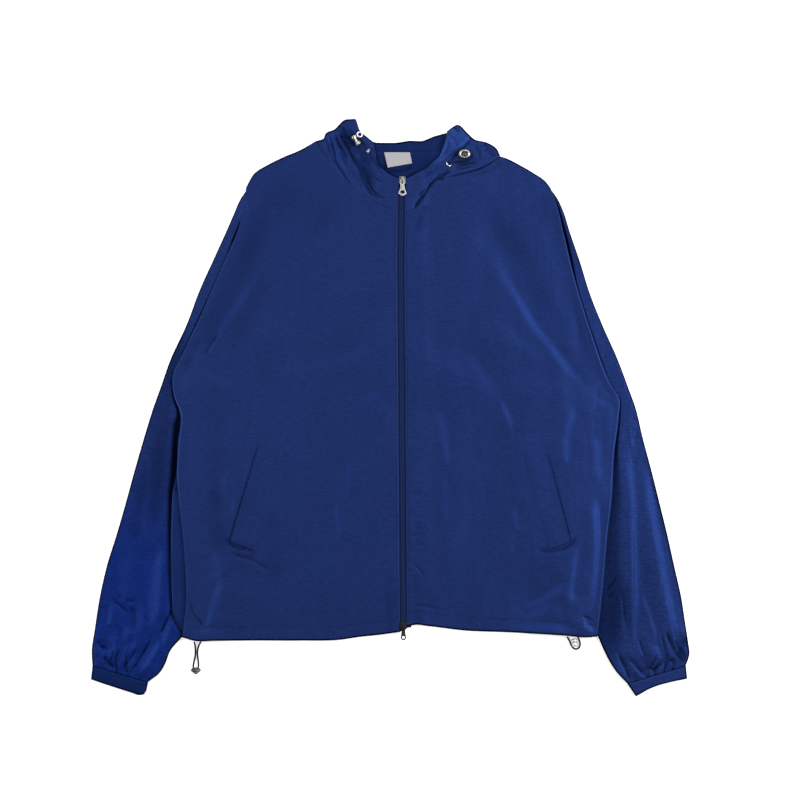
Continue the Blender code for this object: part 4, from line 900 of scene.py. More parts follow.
# %% The fronts
def add_front(name, node, side_edge, shoulder, neck, hem, side, table, rims, seed):
    """One front from its outline; side is -1 or 1, and rims are how bright its seam's painted
    highlight is at some y, where the seam also rolls a little higher.

    Its edges roll down: each takes away depth exp(-(distance from the edge / width)^2)."""
    u, v = graded(FRONT_CELLS[0]), graded(FRONT_CELLS[1])
    south = along(hem, u)
    north = two_edges(shoulder, neck, u)
    opened = beside_zip(south[-1, 1] + v * (north[-1, 1] - south[-1, 1]), side)
    south[-1], north[-1] = opened[0], opened[-1]
    plan = patch(south, north, along(side_edge, v), opened, u, v)
    x, y = plan[..., 0], plan[..., 1]
    u, v = np.meshgrid(u, v)
    from_side, to_top = apart(plan, plan[:, :1]), apart(plan, plan[-1:])
    from_hem = y - plan[:1, :, 1]
    from_zip = np.abs(x - zip_x(y)) - ZIP_OPENING
    calm = smooth(from_side / 16) * smooth(from_zip / 18) * smooth(to_top / 14)
    in_channel = smooth(1 - np.abs(from_hem - HEM_DEPTH / 2) / 11)
    pucker = 0.12 * np.sin(x * 0.5 + 3.1 * np.sin(x * 0.11)) * in_channel
    relief, dark, sheen = creases(table, x, y, side)
    seam_relief, seam_dark, _ = creases(SEAM_SHADOW, x, y)
    rim = np.interp(y, *zip(*rims))
    height = (front_level(x, y) + 2 * WALL + GAP + front_puff(u, v) - (WALL - SHELL) / 2
              + calm * (relief + swell(x, y, 46.0, 0.5, seed) + swell(x, y, 120.0, 1.2, seed + 40))
              + stitched_groove(from_hem, HEM_DEPTH, 1.1, 0.25) + pucker
              + stitched_groove(from_zip, FOLD_DEPTH, 0.8, 0.25)
              + 0.4 * rim * bell(from_side - SEAM_ROLL, 1.6)
              - 1.0 * bell(from_side, 1.3) - 0.8 * bell(from_hem, 1.2) - 0.6 * bell(from_zip, 0.9)
              + seam_relief - 0.2 * bell(to_top, 1.2)
              - 0.7 * on_ridge(x) * smooth((140 - x) / 10) * bell(to_top, 2.0))
    height = np.maximum(height, back_top(x, y) + SHELL + GAP)
    points = np.dstack((plan, height))
    silhouette = np.minimum(from_hem, to_top + 20 * smooth((u - 0.45) / 0.05))      # not at the neck
    # The marks paint shade in creases, under the hood's seam and round the outline, a highlight on the
    # rolled side seam, and sheen on folds.
    made = add_wall(name, node, points, shell_cloth, hollow=np.maximum(calm * dark, seam_dark),
                    edge=closeness(silhouette), seam=closeness(from_side), rim=rim,
                    sheen=0.5 * calm * sheen)
    declare(plan)
    return points


front_left = add_front("front_left_shell", "front_left", LEFT_SIDE, LEFT_SHOULDER, LEFT_NECK,
                       LEFT_HEM, -1, FRONT_LEFT_CREASES, LEFT_RIM, 11)
front_right = add_front("front_right_shell", "front_right", RIGHT_SIDE, RIGHT_SHOULDER, RIGHT_NECK,
                        RIGHT_HEM, 1, FRONT_RIGHT_CREASES, RIGHT_RIM, 12)

# %% [markdown]
# ## The back
# Only a strip down the left side and the inside of the neck show from above, and all of it
# shows from below. It stays flat on the floor, so its creases are shallow folds that lift
# off the floor and never go under it.

# %% The back
# Rows with a negative height only paint shade here: lines on the left strip, the label's shadow and
# the shade inside the neck.
BACK_CREASES = [
    (6, 1.0, -120, -280, -60, -120), (5, 0.9, 40, -300, 70, -150), (6, 1.0, 150, -260, 120, -90),
    (7, 0.8, -160, -60, -70, 30), (6, 0.7, 90, -20, 20, 60), (5, 0.6, -20, -230, 0, -80),
    (4, 0.8, -90, -310, -110, -220), (6, 0.7, 180, -120, 150, 20), (4, 0.7, -10, -310, -24, -240),
    (2.5, 0.8, -313, -60, -316, -180), (2.5, 0.9, -317, -170, -318, -280),
    (3.0, -1.8, -320, -104, -316, -112, -313, -122), (2.0, -2.2, -321, -288, -313, -303, -306, -318),
    (4, 0.6, 100, -310, 108, -250), (4.5, -1.9, -28, 364, -25, 345, -19, 331, -2, 331, 20, 338),
    (40, -0.7, -44, 350, -10, 326, 20, 330, 50, 352)]
BACK_CELLS = (120, 120)
BACK_RIM = [(-320, 0.0), (-286, 0.3), (-120, 0.45), (-98, 0.0), (300, 0.0)]


def add_back():
    """The back panel; its top edge is a shoulder, the neck and a shoulder, end to end."""
    u, v = graded(BACK_CELLS[0]), graded(BACK_CELLS[1], 0.3)
    north = np.vstack((along(LEFT_SHOULDER, u[u <= 0.25] * 4),
                       along(BACK_NECK, u[(u > 0.25) & (u < 0.75)] * 2 - 0.5),
                       along(RIGHT_SHOULDER[::-1], u[u >= 0.75] * 4 - 3)))
    south = two_edges(LEFT_HEM[:-1] + [(0, -313)], [(0, -313)] + RIGHT_HEM[-2::-1], u)
    west, east = along(BACK_LEFT_SIDE, v), along(RIGHT_SIDE, v)
    south[0], south[-1] = west[0], east[0]
    plan = patch(south, north, west, east, u, v)
    x, y = plan[..., 0], plan[..., 1]
    from_edge = np.minimum(apart(plan, plan[:, :1]), apart(plan, plan[:, -1:]))
    from_hem = y - plan[:1, :, 1]
    calm = smooth(from_edge / 6) * smooth(from_hem / 10)
    lifted = back_level(x, y) / LIFT * (WALL - SHELL) / 2
    relief, dark, _ = creases(BACK_CREASES, x, y)
    height = back_level(x, y) + SHELL + lifted + calm * np.maximum(relief, 0.0)
    strip = smooth((-300 - x) / 6) * smooth((from_edge - 1) / 3)
    rim = np.interp(y, *zip(*BACK_RIM)) * (x < 0)
    height += strip * 0.5 * np.sin(y * 0.08) - 0.5 * bell(from_edge, 1.2) * lifted
    front_edge = np.array(LEFT_SIDE[:6], float)
    under_front = np.interp(y, front_edge[:, 1], front_edge[:, 0]) - x
    # Painted: shade in the troughs and along the hem, the front's shadow on the left strip (gap and
    # dark), a highlight on the strip's rolled edge, and a sheen on the strip.
    made = add_wall("back_shell", "back", np.dstack((plan, height)), inner_cloth, hollow=dark,
                    edge=closeness(from_hem), seam=closeness(from_edge), rim=rim, sheen=0.15 * strip,
                    gap=np.clip(1 - under_front / 7.5, 0.0, 1.0), dark=0.35 * (y < -60) * (x < -290))
    declare(plan)


add_back()

# %% [markdown]
# ## Sleeves and cuffs
# A sleeve lying flat is a tube pressed to two walls with round edges. Its section goes over the
# upper wall, round the inner edge, back along the floor and up round the outer edge. The upper
# wall has most of the grid's columns, because that is the one that shows. Next to the body it
# tucks down, and above the cuff the elastic draws it into puffs with deep dents between them.

# %% Creases of the sleeves
# Wide rows with a small negative height are broad painted shade over a shallow dip.
SLEEVE_LEFT_CREASES = [
    (34, -1.5, -302, 130, -322, 70, -334, -10, -340, -90, -350, -190),
    (22, -1.2, -350, -56, -366, -130, -378, -196), (9, -1.2, -378, -278, -374, -294, -376, -312),
    (7, 5.0, -336, -188, -343, -239, -346, -284, -349, -317), (3, 2.5, -407, -275, -409, -306),
    (3, 2.7, -402, -331, -410, -351), (4, 2.7, -385, -306, -388, -327),
    (4, 3.8, -337, -323, -350, -346, -364, -369), (2.5, 2.8, -386, -359, -379, -372),
    (4, 2.8, -321, -292, -329, -314, -336, -334), (3, 1.9, -423, -346, -426, -359),
    (10, 1.0, -364, -93, -383, -172), (8, 1.8, -385, -200, -391, -284),
    (6, 1.8, -365, -268, -371, -314), (3, 1.9, -371, -320, -377, -340),
    (2.0, -3.0, -349, -322, -363, -345, -379, -371),
    (1.5, -3, -323, -282, -325, -290, -332, -304, -339, -321),
    (2.6, -1.9, -409, -267, -395, -275, -382, -287), (2.6, -1.6, -388, -270, -370, -270),
    (2.5, -1.1, -379, -282, -368, -289), (2.5, -1.1, -361, -292, -351, -299),
    (3.8, -3.0, -418, -346, -411, -356, -400, -364), (2.8, -2.4, -426, -324, -420, -334, -410, -340),
    (2.2, -2.2, -394, -336, -400, -352, -398, -374), (2.0, -2.2, -384, -344, -386, -358, -382, -378),
    (1.4, -1.8, -319, -296, -314, -304, -309, -314), (2.4, -2.0, -370, -336, -379, -350, -392, -366),
    (2.0, -1.8, -402, -336, -406, -350, -412, -368), (2.6, -0.9, -400, -262, -388, -266),
    (2.0, 1.4, -356, -352, -366, -372)]
SLEEVE_RIGHT_CREASES = [
    (4.5, 3.0, 312, -34, 319, -88, 325, -158, 326, -214, 329, -279, 322, -342),
    (30, -0.6, 300, -352, 334, -352, 360, -352, 386, -338, 402, -318),
    (13, -1.9, 398, -318, 390, -340, 374, -362), (20, -0.6, 316, -240, 322, -330),
    (16, -0.5, 342, -200, 350, -262, 356, -310), (14, -0.5, 214, 285, 224, 250, 236, 215, 250, 175),
    (5, 4.0, 341, -70, 345, -112, 352, -158, 360, -200, 372, -265, 385, -312, 398, -346),
    (3, 1.2, 318, -40, 328, -55), (2.0, 1.3, 334, -256, 347, -293, 360, -330),
    (2.0, 2.6, 322, -150, 324, -200, 324, -250, 325, -340), (5, 1.4, 300, -281, 314, -326),
    (7, 1.4, 344, -76, 350, -155), (5, 1.1, 287, -289, 291, -340),
    (3, 2.4, 352, -330, 361, -346, 364, -356), (2.5, 2.6, 320, -354, 330, -366, 340, -378),
    (2.8, 3.0, 380, -318, 390, -334, 401, -348), (4, 1.1, 372, -255, 381, -317),
    (3.6, -3.2, 368, -310, 376, -330, 385, -346, 402, -358),
    (2.8, -2.8, 382, -324, 389, -339, 400, -350),
    (3.4, -3.2, 348, -374, 358, -361, 370, -354, 384, -352),
    (2.8, -3.0, 370, -342, 370, -356, 364, -374), (2.4, -2.8, 378, -350, 380, -360, 376, -372),
    (3.0, -2.8, 334, -372, 346, -364, 354, -368, 352, -380),
    (3.0, -2.6, 316, -350, 328, -362, 338, -372, 350, -382),
    (2.2, -2.2, 300, -340, 309, -358, 320, -384), (2.0, -2.2, 356, -346, 350, -358, 344, -366),
    (2.4, -0.9, 286, -257, 300, -239), (2.4, -0.8, 286, -267, 297, -261),
    (2.0, -1.8, 331, -322, 336, -340, 342, -352), (2.0, -1.6, 362, -318, 366, -332, 366, -346),
    (3, -1, 308, -255, 314, -314)]
print(len(SLEEVE_LEFT_CREASES) + len(SLEEVE_RIGHT_CREASES), "creases on the sleeves")

# %% Flat tubes
UPPER_COLUMNS = 120
LOWER_COLUMNS = 20
PLAN_STEPS = 80                         # even steps across a tube's plan
UNDERSIDE = 0.2 * TUBE_HEIGHT           # a ring's points below this are its underside
UNDER_CREASES = [       # on the undersides of the sleeves and of the hood's pouch
    (7, 1.1, -330, 20, -380, -160), (5, 1.0, -390, -180, -414, -330), (5, 1.2, -360, -230, -372, -350),
    (7, 1.0, 320, 10, 350, -150), (5, 1.1, 360, -170, 384, -320), (5, 1.0, 330, -240, 344, -350),
    (8, 1.0, -40, 150, -60, 300), (8, 1.0, 70, 140, 84, 320), (6, 0.8, 10, 120, 14, 260)]


def tube_section(width, upper, lower):
    """One ring of a flat tube: share of the width and height, both edges half circles.

    upper and lower are how many points its upper wall and its underside have."""
    radius = TUBE_HEIGHT / 2
    turn = np.radians((60.0, 30.0, 0.0, -30.0, -60.0))
    spread = graded(upper - 1)
    share = np.concatenate((radius + spread * (width - 2 * radius),
                            width - radius + radius * np.cos(turn),
                            np.linspace(width - radius, radius, lower),
                            radius - radius * np.cos(turn[::-1]))) / width
    rise = np.concatenate((np.full(upper, TUBE_HEIGHT), radius + radius * np.sin(turn),
                           np.zeros(lower), radius + radius * np.sin(turn[::-1])))
    return share, rise


def tube_grid(outer, inner, start, end, rows, relief):
    """Rings from start to end between two edges; relief moves the upper wall up or down.

    A ring's points are placed by their share of the width, on a plan with even steps across."""
    fine = np.linspace(0.0, 1.0, PLAN_STEPS + 1)
    v = np.linspace(0.0, 1.0, rows + 1)
    plan = patch(along(start, fine), along(end, fine), along(outer, v), along(inner, v), fine, v)
    width = np.linalg.norm(np.diff(plan, axis=1), axis=2).sum(axis=1)
    rings = np.array([tube_section(w, UPPER_COLUMNS, LOWER_COLUMNS) for w in width])
    share, rise = rings[:, 0], rings[:, 1]
    place = share * PLAN_STEPS
    low = np.clip(place.astype(int), 0, PLAN_STEPS - 1)
    blend = (place - low)[..., None]
    row = np.arange(rows + 1)[:, None]
    where = plan[row, low] * (1 - blend) + plan[row, low + 1] * blend
    on_top = smooth((rise - TUBE_HEIGHT / 2) / (TUBE_HEIGHT / 2))
    v_grid = np.broadcast_to(v[:, None], rise.shape)
    x, y = where[..., 0], where[..., 1]
    across = np.minimum(share, 1 - share) * width[:, None]
    added, marks = relief(share, v_grid, x, y, across)
    rise = rise + on_top * added * smooth(share / 0.03) * smooth((1 - share) / 0.03)
    under = creases(UNDER_CREASES, x, y)[0] * (1 - on_top) * (rise < UNDERSIDE)
    rise = rise + np.maximum(under, 0.0) * 0.6
    marks = {word: values * (1.0 if word == "edge" else on_top) for word, values in marks.items()}
    return np.dstack((where, rise)), plan, marks


print("a ring round a sleeve has", len(tube_section(100.0, UPPER_COLUMNS, LOWER_COLUMNS)[0]), "points")

# %% Relief of a sleeve
CUFF_PUFF = 2.0         # how much higher the sleeve stands above its cuff


def sleeve_relief(table, body_side, side, gap, gathers, shine, seed):
    """Height added to a sleeve's upper wall, and what its material reads.

    body_side is the line of the body's edge over it. gap gives at some y how far from that edge
    it gets a painted shadow, how dark that is, and how far it dips there. gathers are its folds
    into the cuff: the share of the cuff's width, half width as a share, and height. shine is how
    much painted sheen its creases get: more on the left, where the lamp is the weaker."""
    line = np.array(body_side, float)
    line = line[np.argsort(line[:, 1])]
    gap_y, reach_at, dark_at, depth_at = np.array(gap, float).T

    def relief(share, v, x, y, across):
        """The height added at places on the tube, and the marks there."""
        from_body = side * (x - np.interp(y, line[:, 1], line[:, 0]))
        reach = np.interp(y, gap_y, reach_at)
        tuck = -np.interp(y, gap_y, depth_at) * smooth((reach - from_body) / reach)
        near_cuff = smooth((v - 0.84) / 0.13)
        puff = CUFF_PUFF * smooth((v - 0.70) / 0.22) * (1 - smooth((v - 0.965) / 0.035))
        folds = sum(h * bell(share - c - 0.06 * (1 - v), w) for c, w, h in gathers)
        shown = smooth((from_body + 30) / 20)
        rise, dark, sheen = creases(table, x, y, side)
        added = tuck + puff + near_cuff * folds + shown * (rise + swell(x, y, 38.0, 0.5, seed))
        # painted shade in troughs and round the outline, painted sheen on folds, and the body's
        # painted shadow
        marks = {"hollow": dark, "sheen": shine * sheen, "edge": closeness(across),
                 "dark": np.interp(y, gap_y, dark_at),
                 "gap": np.clip(1.6 - 1.6 * from_body / reach, 0.0, 1.0)}
        return np.maximum(added, 2.2 * near_cuff - 4.0), marks

    return relief


print("a sleeve stands", CUFF_PUFF, "mm higher above its cuff")

# %% Sleeves
SLEEVE_ROWS = 190
# The gap tables give the painted shadow that the body casts beside a sleeve, and the dip there.
LEFT_GAP = [            # y, reach, darkness, depth of the dip beside the body
    (-345, 1.4, 0.0, 0.0), (-320, 2.5, 0.3, 1.0), (-290, 6.0, 0.8, 2.5), (-214, 9.5, 0.85, 2.8),
    (-130, 9.5, 0.85, 2.8), (-104, 11.0, 0.85, 3.0), (-88, 12.0, 0.9, 3.4), (-25, 13.0, 0.85, 3.4),
    (-4, 5.0, 0.85, 2.5), (22, 3.5, 0.8, 2.0), (45, 2.6, 0.7, 1.5), (66, 1.8, 0.5, 1.0),
    (88, 1.4, 0.3, 0.5), (100, 2.0, 0.8, 1.5), (122, 2.6, 0.8, 2.0), (150, 1.6, 0.6, 1.0),
    (204, 1.4, 0.3, 0.3), (220, 2.0, 0.5, 1.0), (234, 4.0, 0.95, 3.0), (251, 3.0, 0.9, 2.0),
    (260, 2.0, 0.2, 0.0), (266, 8.0, 0.0, -2.5), (305, 8.0, 0.0, -3.0)]
RIGHT_GAP = [
    (-370, 30, 0.0, 0.0), (-345, 36, 0.30, 2.0), (-325, 44, 0.54, 3.0), (-305, 48, 0.60, 3.4),
    (-270, 44, 0.56, 3.4), (-214, 28, 0.50, 3.4), (-165, 20, 0.46, 3.4), (-130, 17, 0.55, 3.4),
    (-73, 9.5, 0.74, 3.0), (-45, 5.5, 0.85, 3.0), (10, 2.4, 0.8, 2.0), (22, 1.4, 0.3, 0.5),
    (45, 1.4, 0.4, 0.5), (94, 2.0, 0.7, 1.0), (150, 1.6, 0.6, 1.0), (171, 2.0, 0.9, 1.5),
    (204, 4.8, 0.95, 3.0), (234, 6.2, 0.95, 3.4), (283, 3.6, 0.9, 2.5), (300, 1.4, 0.5, 0.0),
    (307, 1.4, 0.0, 0.0)]
LEFT_GATHERS = [(0.08, 0.035, 0.9), (0.20, 0.03, -0.8), (0.31, 0.04, 1.0), (0.43, 0.025, -1.0),
                (0.55, 0.045, 1.1), (0.66, 0.02, -0.9), (0.76, 0.04, 0.9), (0.88, 0.03, -0.7)]
RIGHT_GATHERS = [(0.06, 0.03, 0.8), (0.15, 0.025, -1.1), (0.27, 0.04, 1.2), (0.38, 0.025, -0.9),
                 (0.50, 0.04, 1.0), (0.63, 0.03, -0.8), (0.74, 0.035, 0.9), (0.87, 0.035, -0.9)]
for name, node, outer, inner, start, end, cloth, relief in (
        ("sleeve_left_shell", "sleeve_left", LEFT_SLEEVE_OUTER, LEFT_SLEEVE_INNER,
         LEFT_SLEEVE_ARMHOLE, LEFT_CUFF_SEAM, left_sleeve_cloth,
         sleeve_relief(SLEEVE_LEFT_CREASES, BACK_LEFT_SIDE, -1, LEFT_GAP, LEFT_GATHERS, 0.9, 21)),
        ("sleeve_right_shell", "sleeve_right", RIGHT_SLEEVE_OUTER, RIGHT_SLEEVE_INNER,
         RIGHT_SLEEVE_ARMHOLE, RIGHT_CUFF_SEAM, sleeve_cloth,
         sleeve_relief(SLEEVE_RIGHT_CREASES, RIGHT_SIDE, 1, RIGHT_GAP, RIGHT_GATHERS, 0.3, 22))):
    points, plan, marks = tube_grid(outer, inner, start, end, SLEEVE_ROWS, relief)
    made = add_wall(name, node, points, cloth, closed=True, **marks)
    declare(plan)

# %% Cuffs
CUFF_ROWS = 26
CUFF_DEPTH = 18.5


def cuff_relief(share, v, x, y, across):
    """Fine puckers across an elastic cuff, with a stitched groove near its hem."""
    pucker = 0.06 * np.sin(share * 2 * math.pi * 23 + 1.4 * np.sin(share * 19))
    ends = smooth(v / 0.12) * smooth((1 - v) / 0.12)
    rise = pucker * ends + 0.7 * ends + stitched_groove(v, 0.88, 0.03, 0.15)
    # the edge mark paints shade round the cuff's outline
    return rise, {"edge": closeness(np.minimum(across, (1 - v) * CUFF_DEPTH))}


for side in ("left", "right"):
    seam = np.array(LEFT_CUFF_SEAM if side == "left" else RIGHT_CUFF_SEAM, float)
    hem = np.array(LEFT_CUFF_HEM if side == "left" else RIGHT_CUFF_HEM, float)
    down = hem[[0, -1]].mean(axis=0) - seam.mean(axis=0)
    start = seam + down / np.linalg.norm(down) * SEAM_STEP
    points, plan, marks = tube_grid([start[0], hem[0]], [start[1], hem[-1]], start, hem, CUFF_ROWS,
                                    cuff_relief)
    # the left cuff takes the darker cloth, whose colour is painted shade
    cloth = left_cuff_shaded_cloth if side == "left" else shell_cloth
    made = add_wall(f"cuff_{side}_elastic", f"cuff_{side}", points, cloth, closed=True, **marks)
    declare(plan)

# %% [markdown]
# ## The hood
# The hood is pushed back. Its two sides stand up round the neck and are bunched by the
# drawcord: long folds run from the neck seam up to the shoulder, and the opening has a rolled
# tunnel that the cord runs in. The rest of the hood is a flat pouch under the back.

# %% Creases of the hood sides
# Wide rows with a small negative height are broad painted shade over a shallow dip.
HOOD_LEFT_CREASES = [
    (20, -2.0, -86, 398, -76, 372, -62, 347, -50, 325, -36, 302),
    (7, -1.5, -48, 360, -40, 345, -28, 331),
    (1.8, -3.4, -95, 385, -92, 376, -86, 364, -79, 350, -76, 344),
    (1.8, -2.9, -88, 388, -82, 375, -76, 364, -72, 355),
    (1.7, -2.9, -85, 390, -77, 379, -71, 375, -64, 364),
    (2.1, -4.2, -78, 370, -73, 356, -66, 344, -60, 336, -56, 322, -50, 309, -42, 297, -37, 290),
    (1.6, -2.3, -60, 340, -56, 334, -51, 322, -44, 308, -35, 295, -28, 290),
    (1.6, -3.1, -104, 384, -101, 376, -99, 370, -95, 355, -92, 342, -86, 333, -79, 322, -66, 303),
    (2.1, -1.6, -49, 354, -46, 338, -42, 327, -35, 319, -24, 313),
    (1.6, -1.2, -41, 303, -31, 294, -22, 291), (1.5, -1.3, -109, 366, -104, 346, -96, 330),
    (1.5, -1.4, -90, 394, -79, 386, -71, 378), (1.5, -1.4, -86, 400, -75, 392, -66, 380),
    (10, -1.7, -74, 390, -62, 364, -53, 347, -46, 330), (4, -1.2, -92, 372, -84, 352, -74, 334),
    (4.5, -1, -106, 378, -102, 358, -92, 336), (3.5, -1, -52, 318, -44, 304, -34, 292),
    (3, 3.4, -101, 378, -91, 355, -81, 336, -67, 314), (2.4, 3.2, -82, 366, -76, 352, -70, 342),
    (2.6, 3.2, -62, 342, -52, 324, -42, 302), (2.4, 1.8, -84, 358, -74, 338, -62, 318),
    (4, 1.6, -76, 400, -66, 392), (2.6, 1.6, -112, 367, -103, 342, -88, 320),
    (2, 1.6, -82, 384, -77, 370, -69, 358), (3, 1.6, -46, 350, -40, 334, -28, 322),
    (2, 1.4, -50, 320, -42, 304, -32, 294)]
HOOD_RIGHT_CREASES = [
    (1.5, -2.2, 62, 341, 69, 346, 81, 358, 94, 373, 98, 379),
    (1.4, -1.5, 70, 341, 82, 340, 96, 341, 108, 340), (1.4, -1.0, 70, 336, 84, 334, 100, 338),
    (2.6, -2.0, 66, 331, 62, 327, 57, 323), (1.5, -1.8, 22, 294, 27, 300, 33, 305),
    (2.0, -1.8, 70, 392, 77, 388, 80, 383), (3.0, -1.2, 66, 372, 62, 358, 54, 346),
    (1.3, -1.5, 110, 366, 117, 366, 118, 360, 112, 358), (1.6, 1.4, 112, 363, 116, 362),
    (3.0, -2.6, 62, 343, 66, 340, 70, 337), (3.0, 1.8, 92, 372, 104, 374, 120, 368),
    (4.0, 2.4, 52, 350, 66, 366, 76, 384), (2.4, 1.6, 96, 352, 112, 352, 128, 352),
    (4.0, 1.8, 24, 306, 38, 320, 52, 330), (1.6, -1.2, 100, 368, 107, 356, 109, 346),
    (1.6, -1.0, 118, 356, 126, 352, 134, 350),
    (3.2, 3.0, 64, 326, 78, 328, 92, 333, 108, 340, 124, 346, 134, 349),
    (1.4, -1.0, 67, 380, 74, 372, 76, 362), (3.0, -0.9, 28, 318, 40, 328, 52, 336)]
print(len(HOOD_LEFT_CREASES) + len(HOOD_RIGHT_CREASES), "creases on the hood")

# %% Hood sides
HOOD_CELLS = (150, 118)
TUNNEL = 9.0            # width of the drawcord tunnel round the opening
TURNED_END = (46, 338, 53, 343, 65, 352, 78, 361, 88, 370, 93, 376, 97, 381)    # x, y in turn


def hood_base(u, v, x, y):
    """Height of a hood side: over the zip tape at u = 0, down on the pouch round the top."""
    puff = 1.9 + 0.5 * np.sin(math.pi * v)
    at_zip = 1 - smooth(u / 0.16)
    puff = puff * (1 - at_zip) + ZIP_PUFF * at_zip
    drop = smooth((u - 0.82) / 0.18) * smooth((v - 0.12) / 0.25)
    level = back_level(x, y) + WALL + GAP + puff
    return level * (1 - drop) + (TUBE_HEIGHT + GAP + 0.4) * drop + (WALL + SHELL) / 2


def add_hood_side(name, node, neck, top, edge, side, table, seed):
    """One side of the hood: u goes from the zip to the shoulder, v from the seam to the opening."""
    u, v = graded(HOOD_CELLS[0]), graded(HOOD_CELLS[1])
    seam = along(neck, 1 - u)
    opened = beside_zip(seam[0, 1] + v * (edge[0][1] - seam[0, 1]), side)
    seam[0] = opened[0]
    edge_line = along(edge, u)
    edge_line[0] = opened[-1]
    top_line = along([tuple(seam[-1])] + top[1:], v)
    edge_line[-1] = top_line[-1]
    plan = patch(seam, edge_line, opened, top_line, u, v)
    x, y = plan[..., 0], plan[..., 1]
    u, v = np.meshgrid(u, v)
    from_edge, from_seam = apart(plan, plan[-1:]), apart(plan, plan[:1])
    from_top = apart(plan, plan[:, -1:])
    from_zip = np.abs(x - zip_x(y)) - ZIP_OPENING
    calm = smooth(from_seam / 9) * smooth(from_zip / 9) * smooth(from_top / 6) * smooth(from_edge / 4)
    tunnel = 0.5 * bell(from_edge - TUNNEL / 2, 3.2)
    lip = 1.2 * on_ridge(x) * bell(from_seam - 1.6, 2.2)
    turned = -10.0 * np.ones_like(x)
    if side > 0:
        past_start = (x - TURNED_END[0] + y - TURNED_END[1]) * 0.7
        turned = np.minimum(-beside(TURNED_END, x, y)[0], past_start)
        turned = np.clip(turned, -10.0, 10.0)
    relief, dark, sheen = creases(table, x, y, side)
    seam_relief, seam_dark, _ = creases(SEAM_SHADOW, x, y)
    height = (hood_base(u, v, x, y) + calm * (relief + swell(x, y, 22.0, 0.4, seed))
              + tunnel + lip + 0.9 * smooth(turned / 2.0)
              + stitched_groove(from_edge, TUNNEL, 0.9, 0.2) + seam_relief
              - 1.0 * bell(from_edge, 1.2) - 0.7 * bell(from_top, 1.3) - 0.2 * bell(from_seam, 1.2))
    height = np.maximum(height, np.where(y < 350, back_top(x, y) + SHELL + GAP, 0.0))
    points = np.dstack((plan, height))
    # The marks paint shade in creases, under the seam and round the outline, sheen on folds, a
    # highlight on the rolled seam, and the turned-over edge brighter.
    made = add_wall(name, node, points, hood_cloth, turned=turned,
                    hollow=np.maximum(dark, seam_dark), sheen=0.7 * calm * sheen,
                    seam=closeness(from_seam), rim=0.3 * on_ridge(x),
                    edge=closeness(np.minimum(from_top, from_edge + 0.7)))
    declare(plan)
    return points


hood_left = add_hood_side("hood_left_shell", "hood_left", LEFT_NECK, HOOD_LEFT_TOP, HOOD_LEFT_EDGE,
                          -1, HOOD_LEFT_CREASES, 31)
hood_right = add_hood_side("hood_right_shell", "hood_right", RIGHT_NECK, HOOD_RIGHT_TOP,
                           HOOD_RIGHT_EDGE, 1, HOOD_RIGHT_CREASES, 32)

# %% The rest of the hood
BAG_ACROSS = 70
BAG_ROWS = 70


def add_hood_bag():
    """A flat pouch: straight sides from the mouth to the shoulder, then a round foot."""
    share = np.linspace(0.0, 1.0, BAG_ROWS + 1)
    angle = np.clip(2 * share - 1, 0, 1) * math.radians(BAG_FOOT_ANGLE)
    down = np.clip(2 * share, 0, 1)
    half = (BAG_HALF_WIDTH - BAG_MOUTH_TUCK * (1 - down)) * np.cos(angle)
    rings = np.array([tube_section(2 * h, BAG_ACROSS, BAG_ACROSS) for h in half])
    across, rise = rings[:, 0], rings[:, 1]
    x = BAG_CENTRE_X + half[:, None] * (2 * across - 1)
    top = np.array(BAG_TOP, float)
    mouth = np.interp(x, top[:, 0], top[:, 1])
    y = (mouth + (BAG_SHOULDER_Y - mouth) * down[:, None]
         - (BAG_SHOULDER_Y - BAG_BOTTOM_Y) * np.sin(angle)[:, None])
    rise = rise + np.maximum(creases(UNDER_CREASES, x, y)[0], 0.0) * (rise < UNDERSIDE)
    points = np.dstack((x, y, rise))[:, ::-1]
    # the edge mark paints shade along the pouch's mouth
    mesh = grid_mesh("hood_bag_shell", points, closed=True, edge=closeness(mouth - y)[:, ::-1])

    def close_foot(work):
        """Closes the pouch with one face inside its last ring."""
        work.verts.ensure_lookup_table()
        work.faces.new(work.verts[-points.shape[1]:])

    rework(mesh, close_foot)
    made = link("hood_bag_shell", mesh, inner_cloth)
    thicken(made, SHELL)
    stand_for("hood_bag")
    declare(np.dstack((x, y))[:, :BAG_ACROSS])


add_hood_bag()

# %% [markdown]
# ## Pocket welts and label
# A welt is a folded strip sewn on a front. Its outer edge is the pocket's mouth, so it stands a
# little off the cloth and shows as a dark line, which is also painted as shade, as is a line
# along the welt's foot. The label is sewn in at the back of the neck along its top edge.

# %% Welts and label
def height_over(grid, x, y):
    """Height of a finished surface under other places: the mean of its points, each weighed by
    exp(-(distance / 2 mm)^2)."""
    points = grid.reshape(-1, 3)
    near = ((points[:, 0] > x.min() - 8) & (points[:, 0] < x.max() + 8)
            & (points[:, 1] > y.min() - 8) & (points[:, 1] < y.max() + 8))
    points = points[near].astype(np.float32)
    flat_x, flat_y = x.ravel(), y.ravel()
    square = ((flat_x[:, None] - points[None, :, 0]) ** 2
              + (flat_y[:, None] - points[None, :, 1]) ** 2)
    weight = np.exp(-square / 4.0) + 1e-9
    return ((weight * points[None, :, 2]).sum(axis=1) / weight.sum(axis=1)).reshape(x.shape)


WELT_CELLS = (20, 80)
LABEL_CELLS = (24, 16)


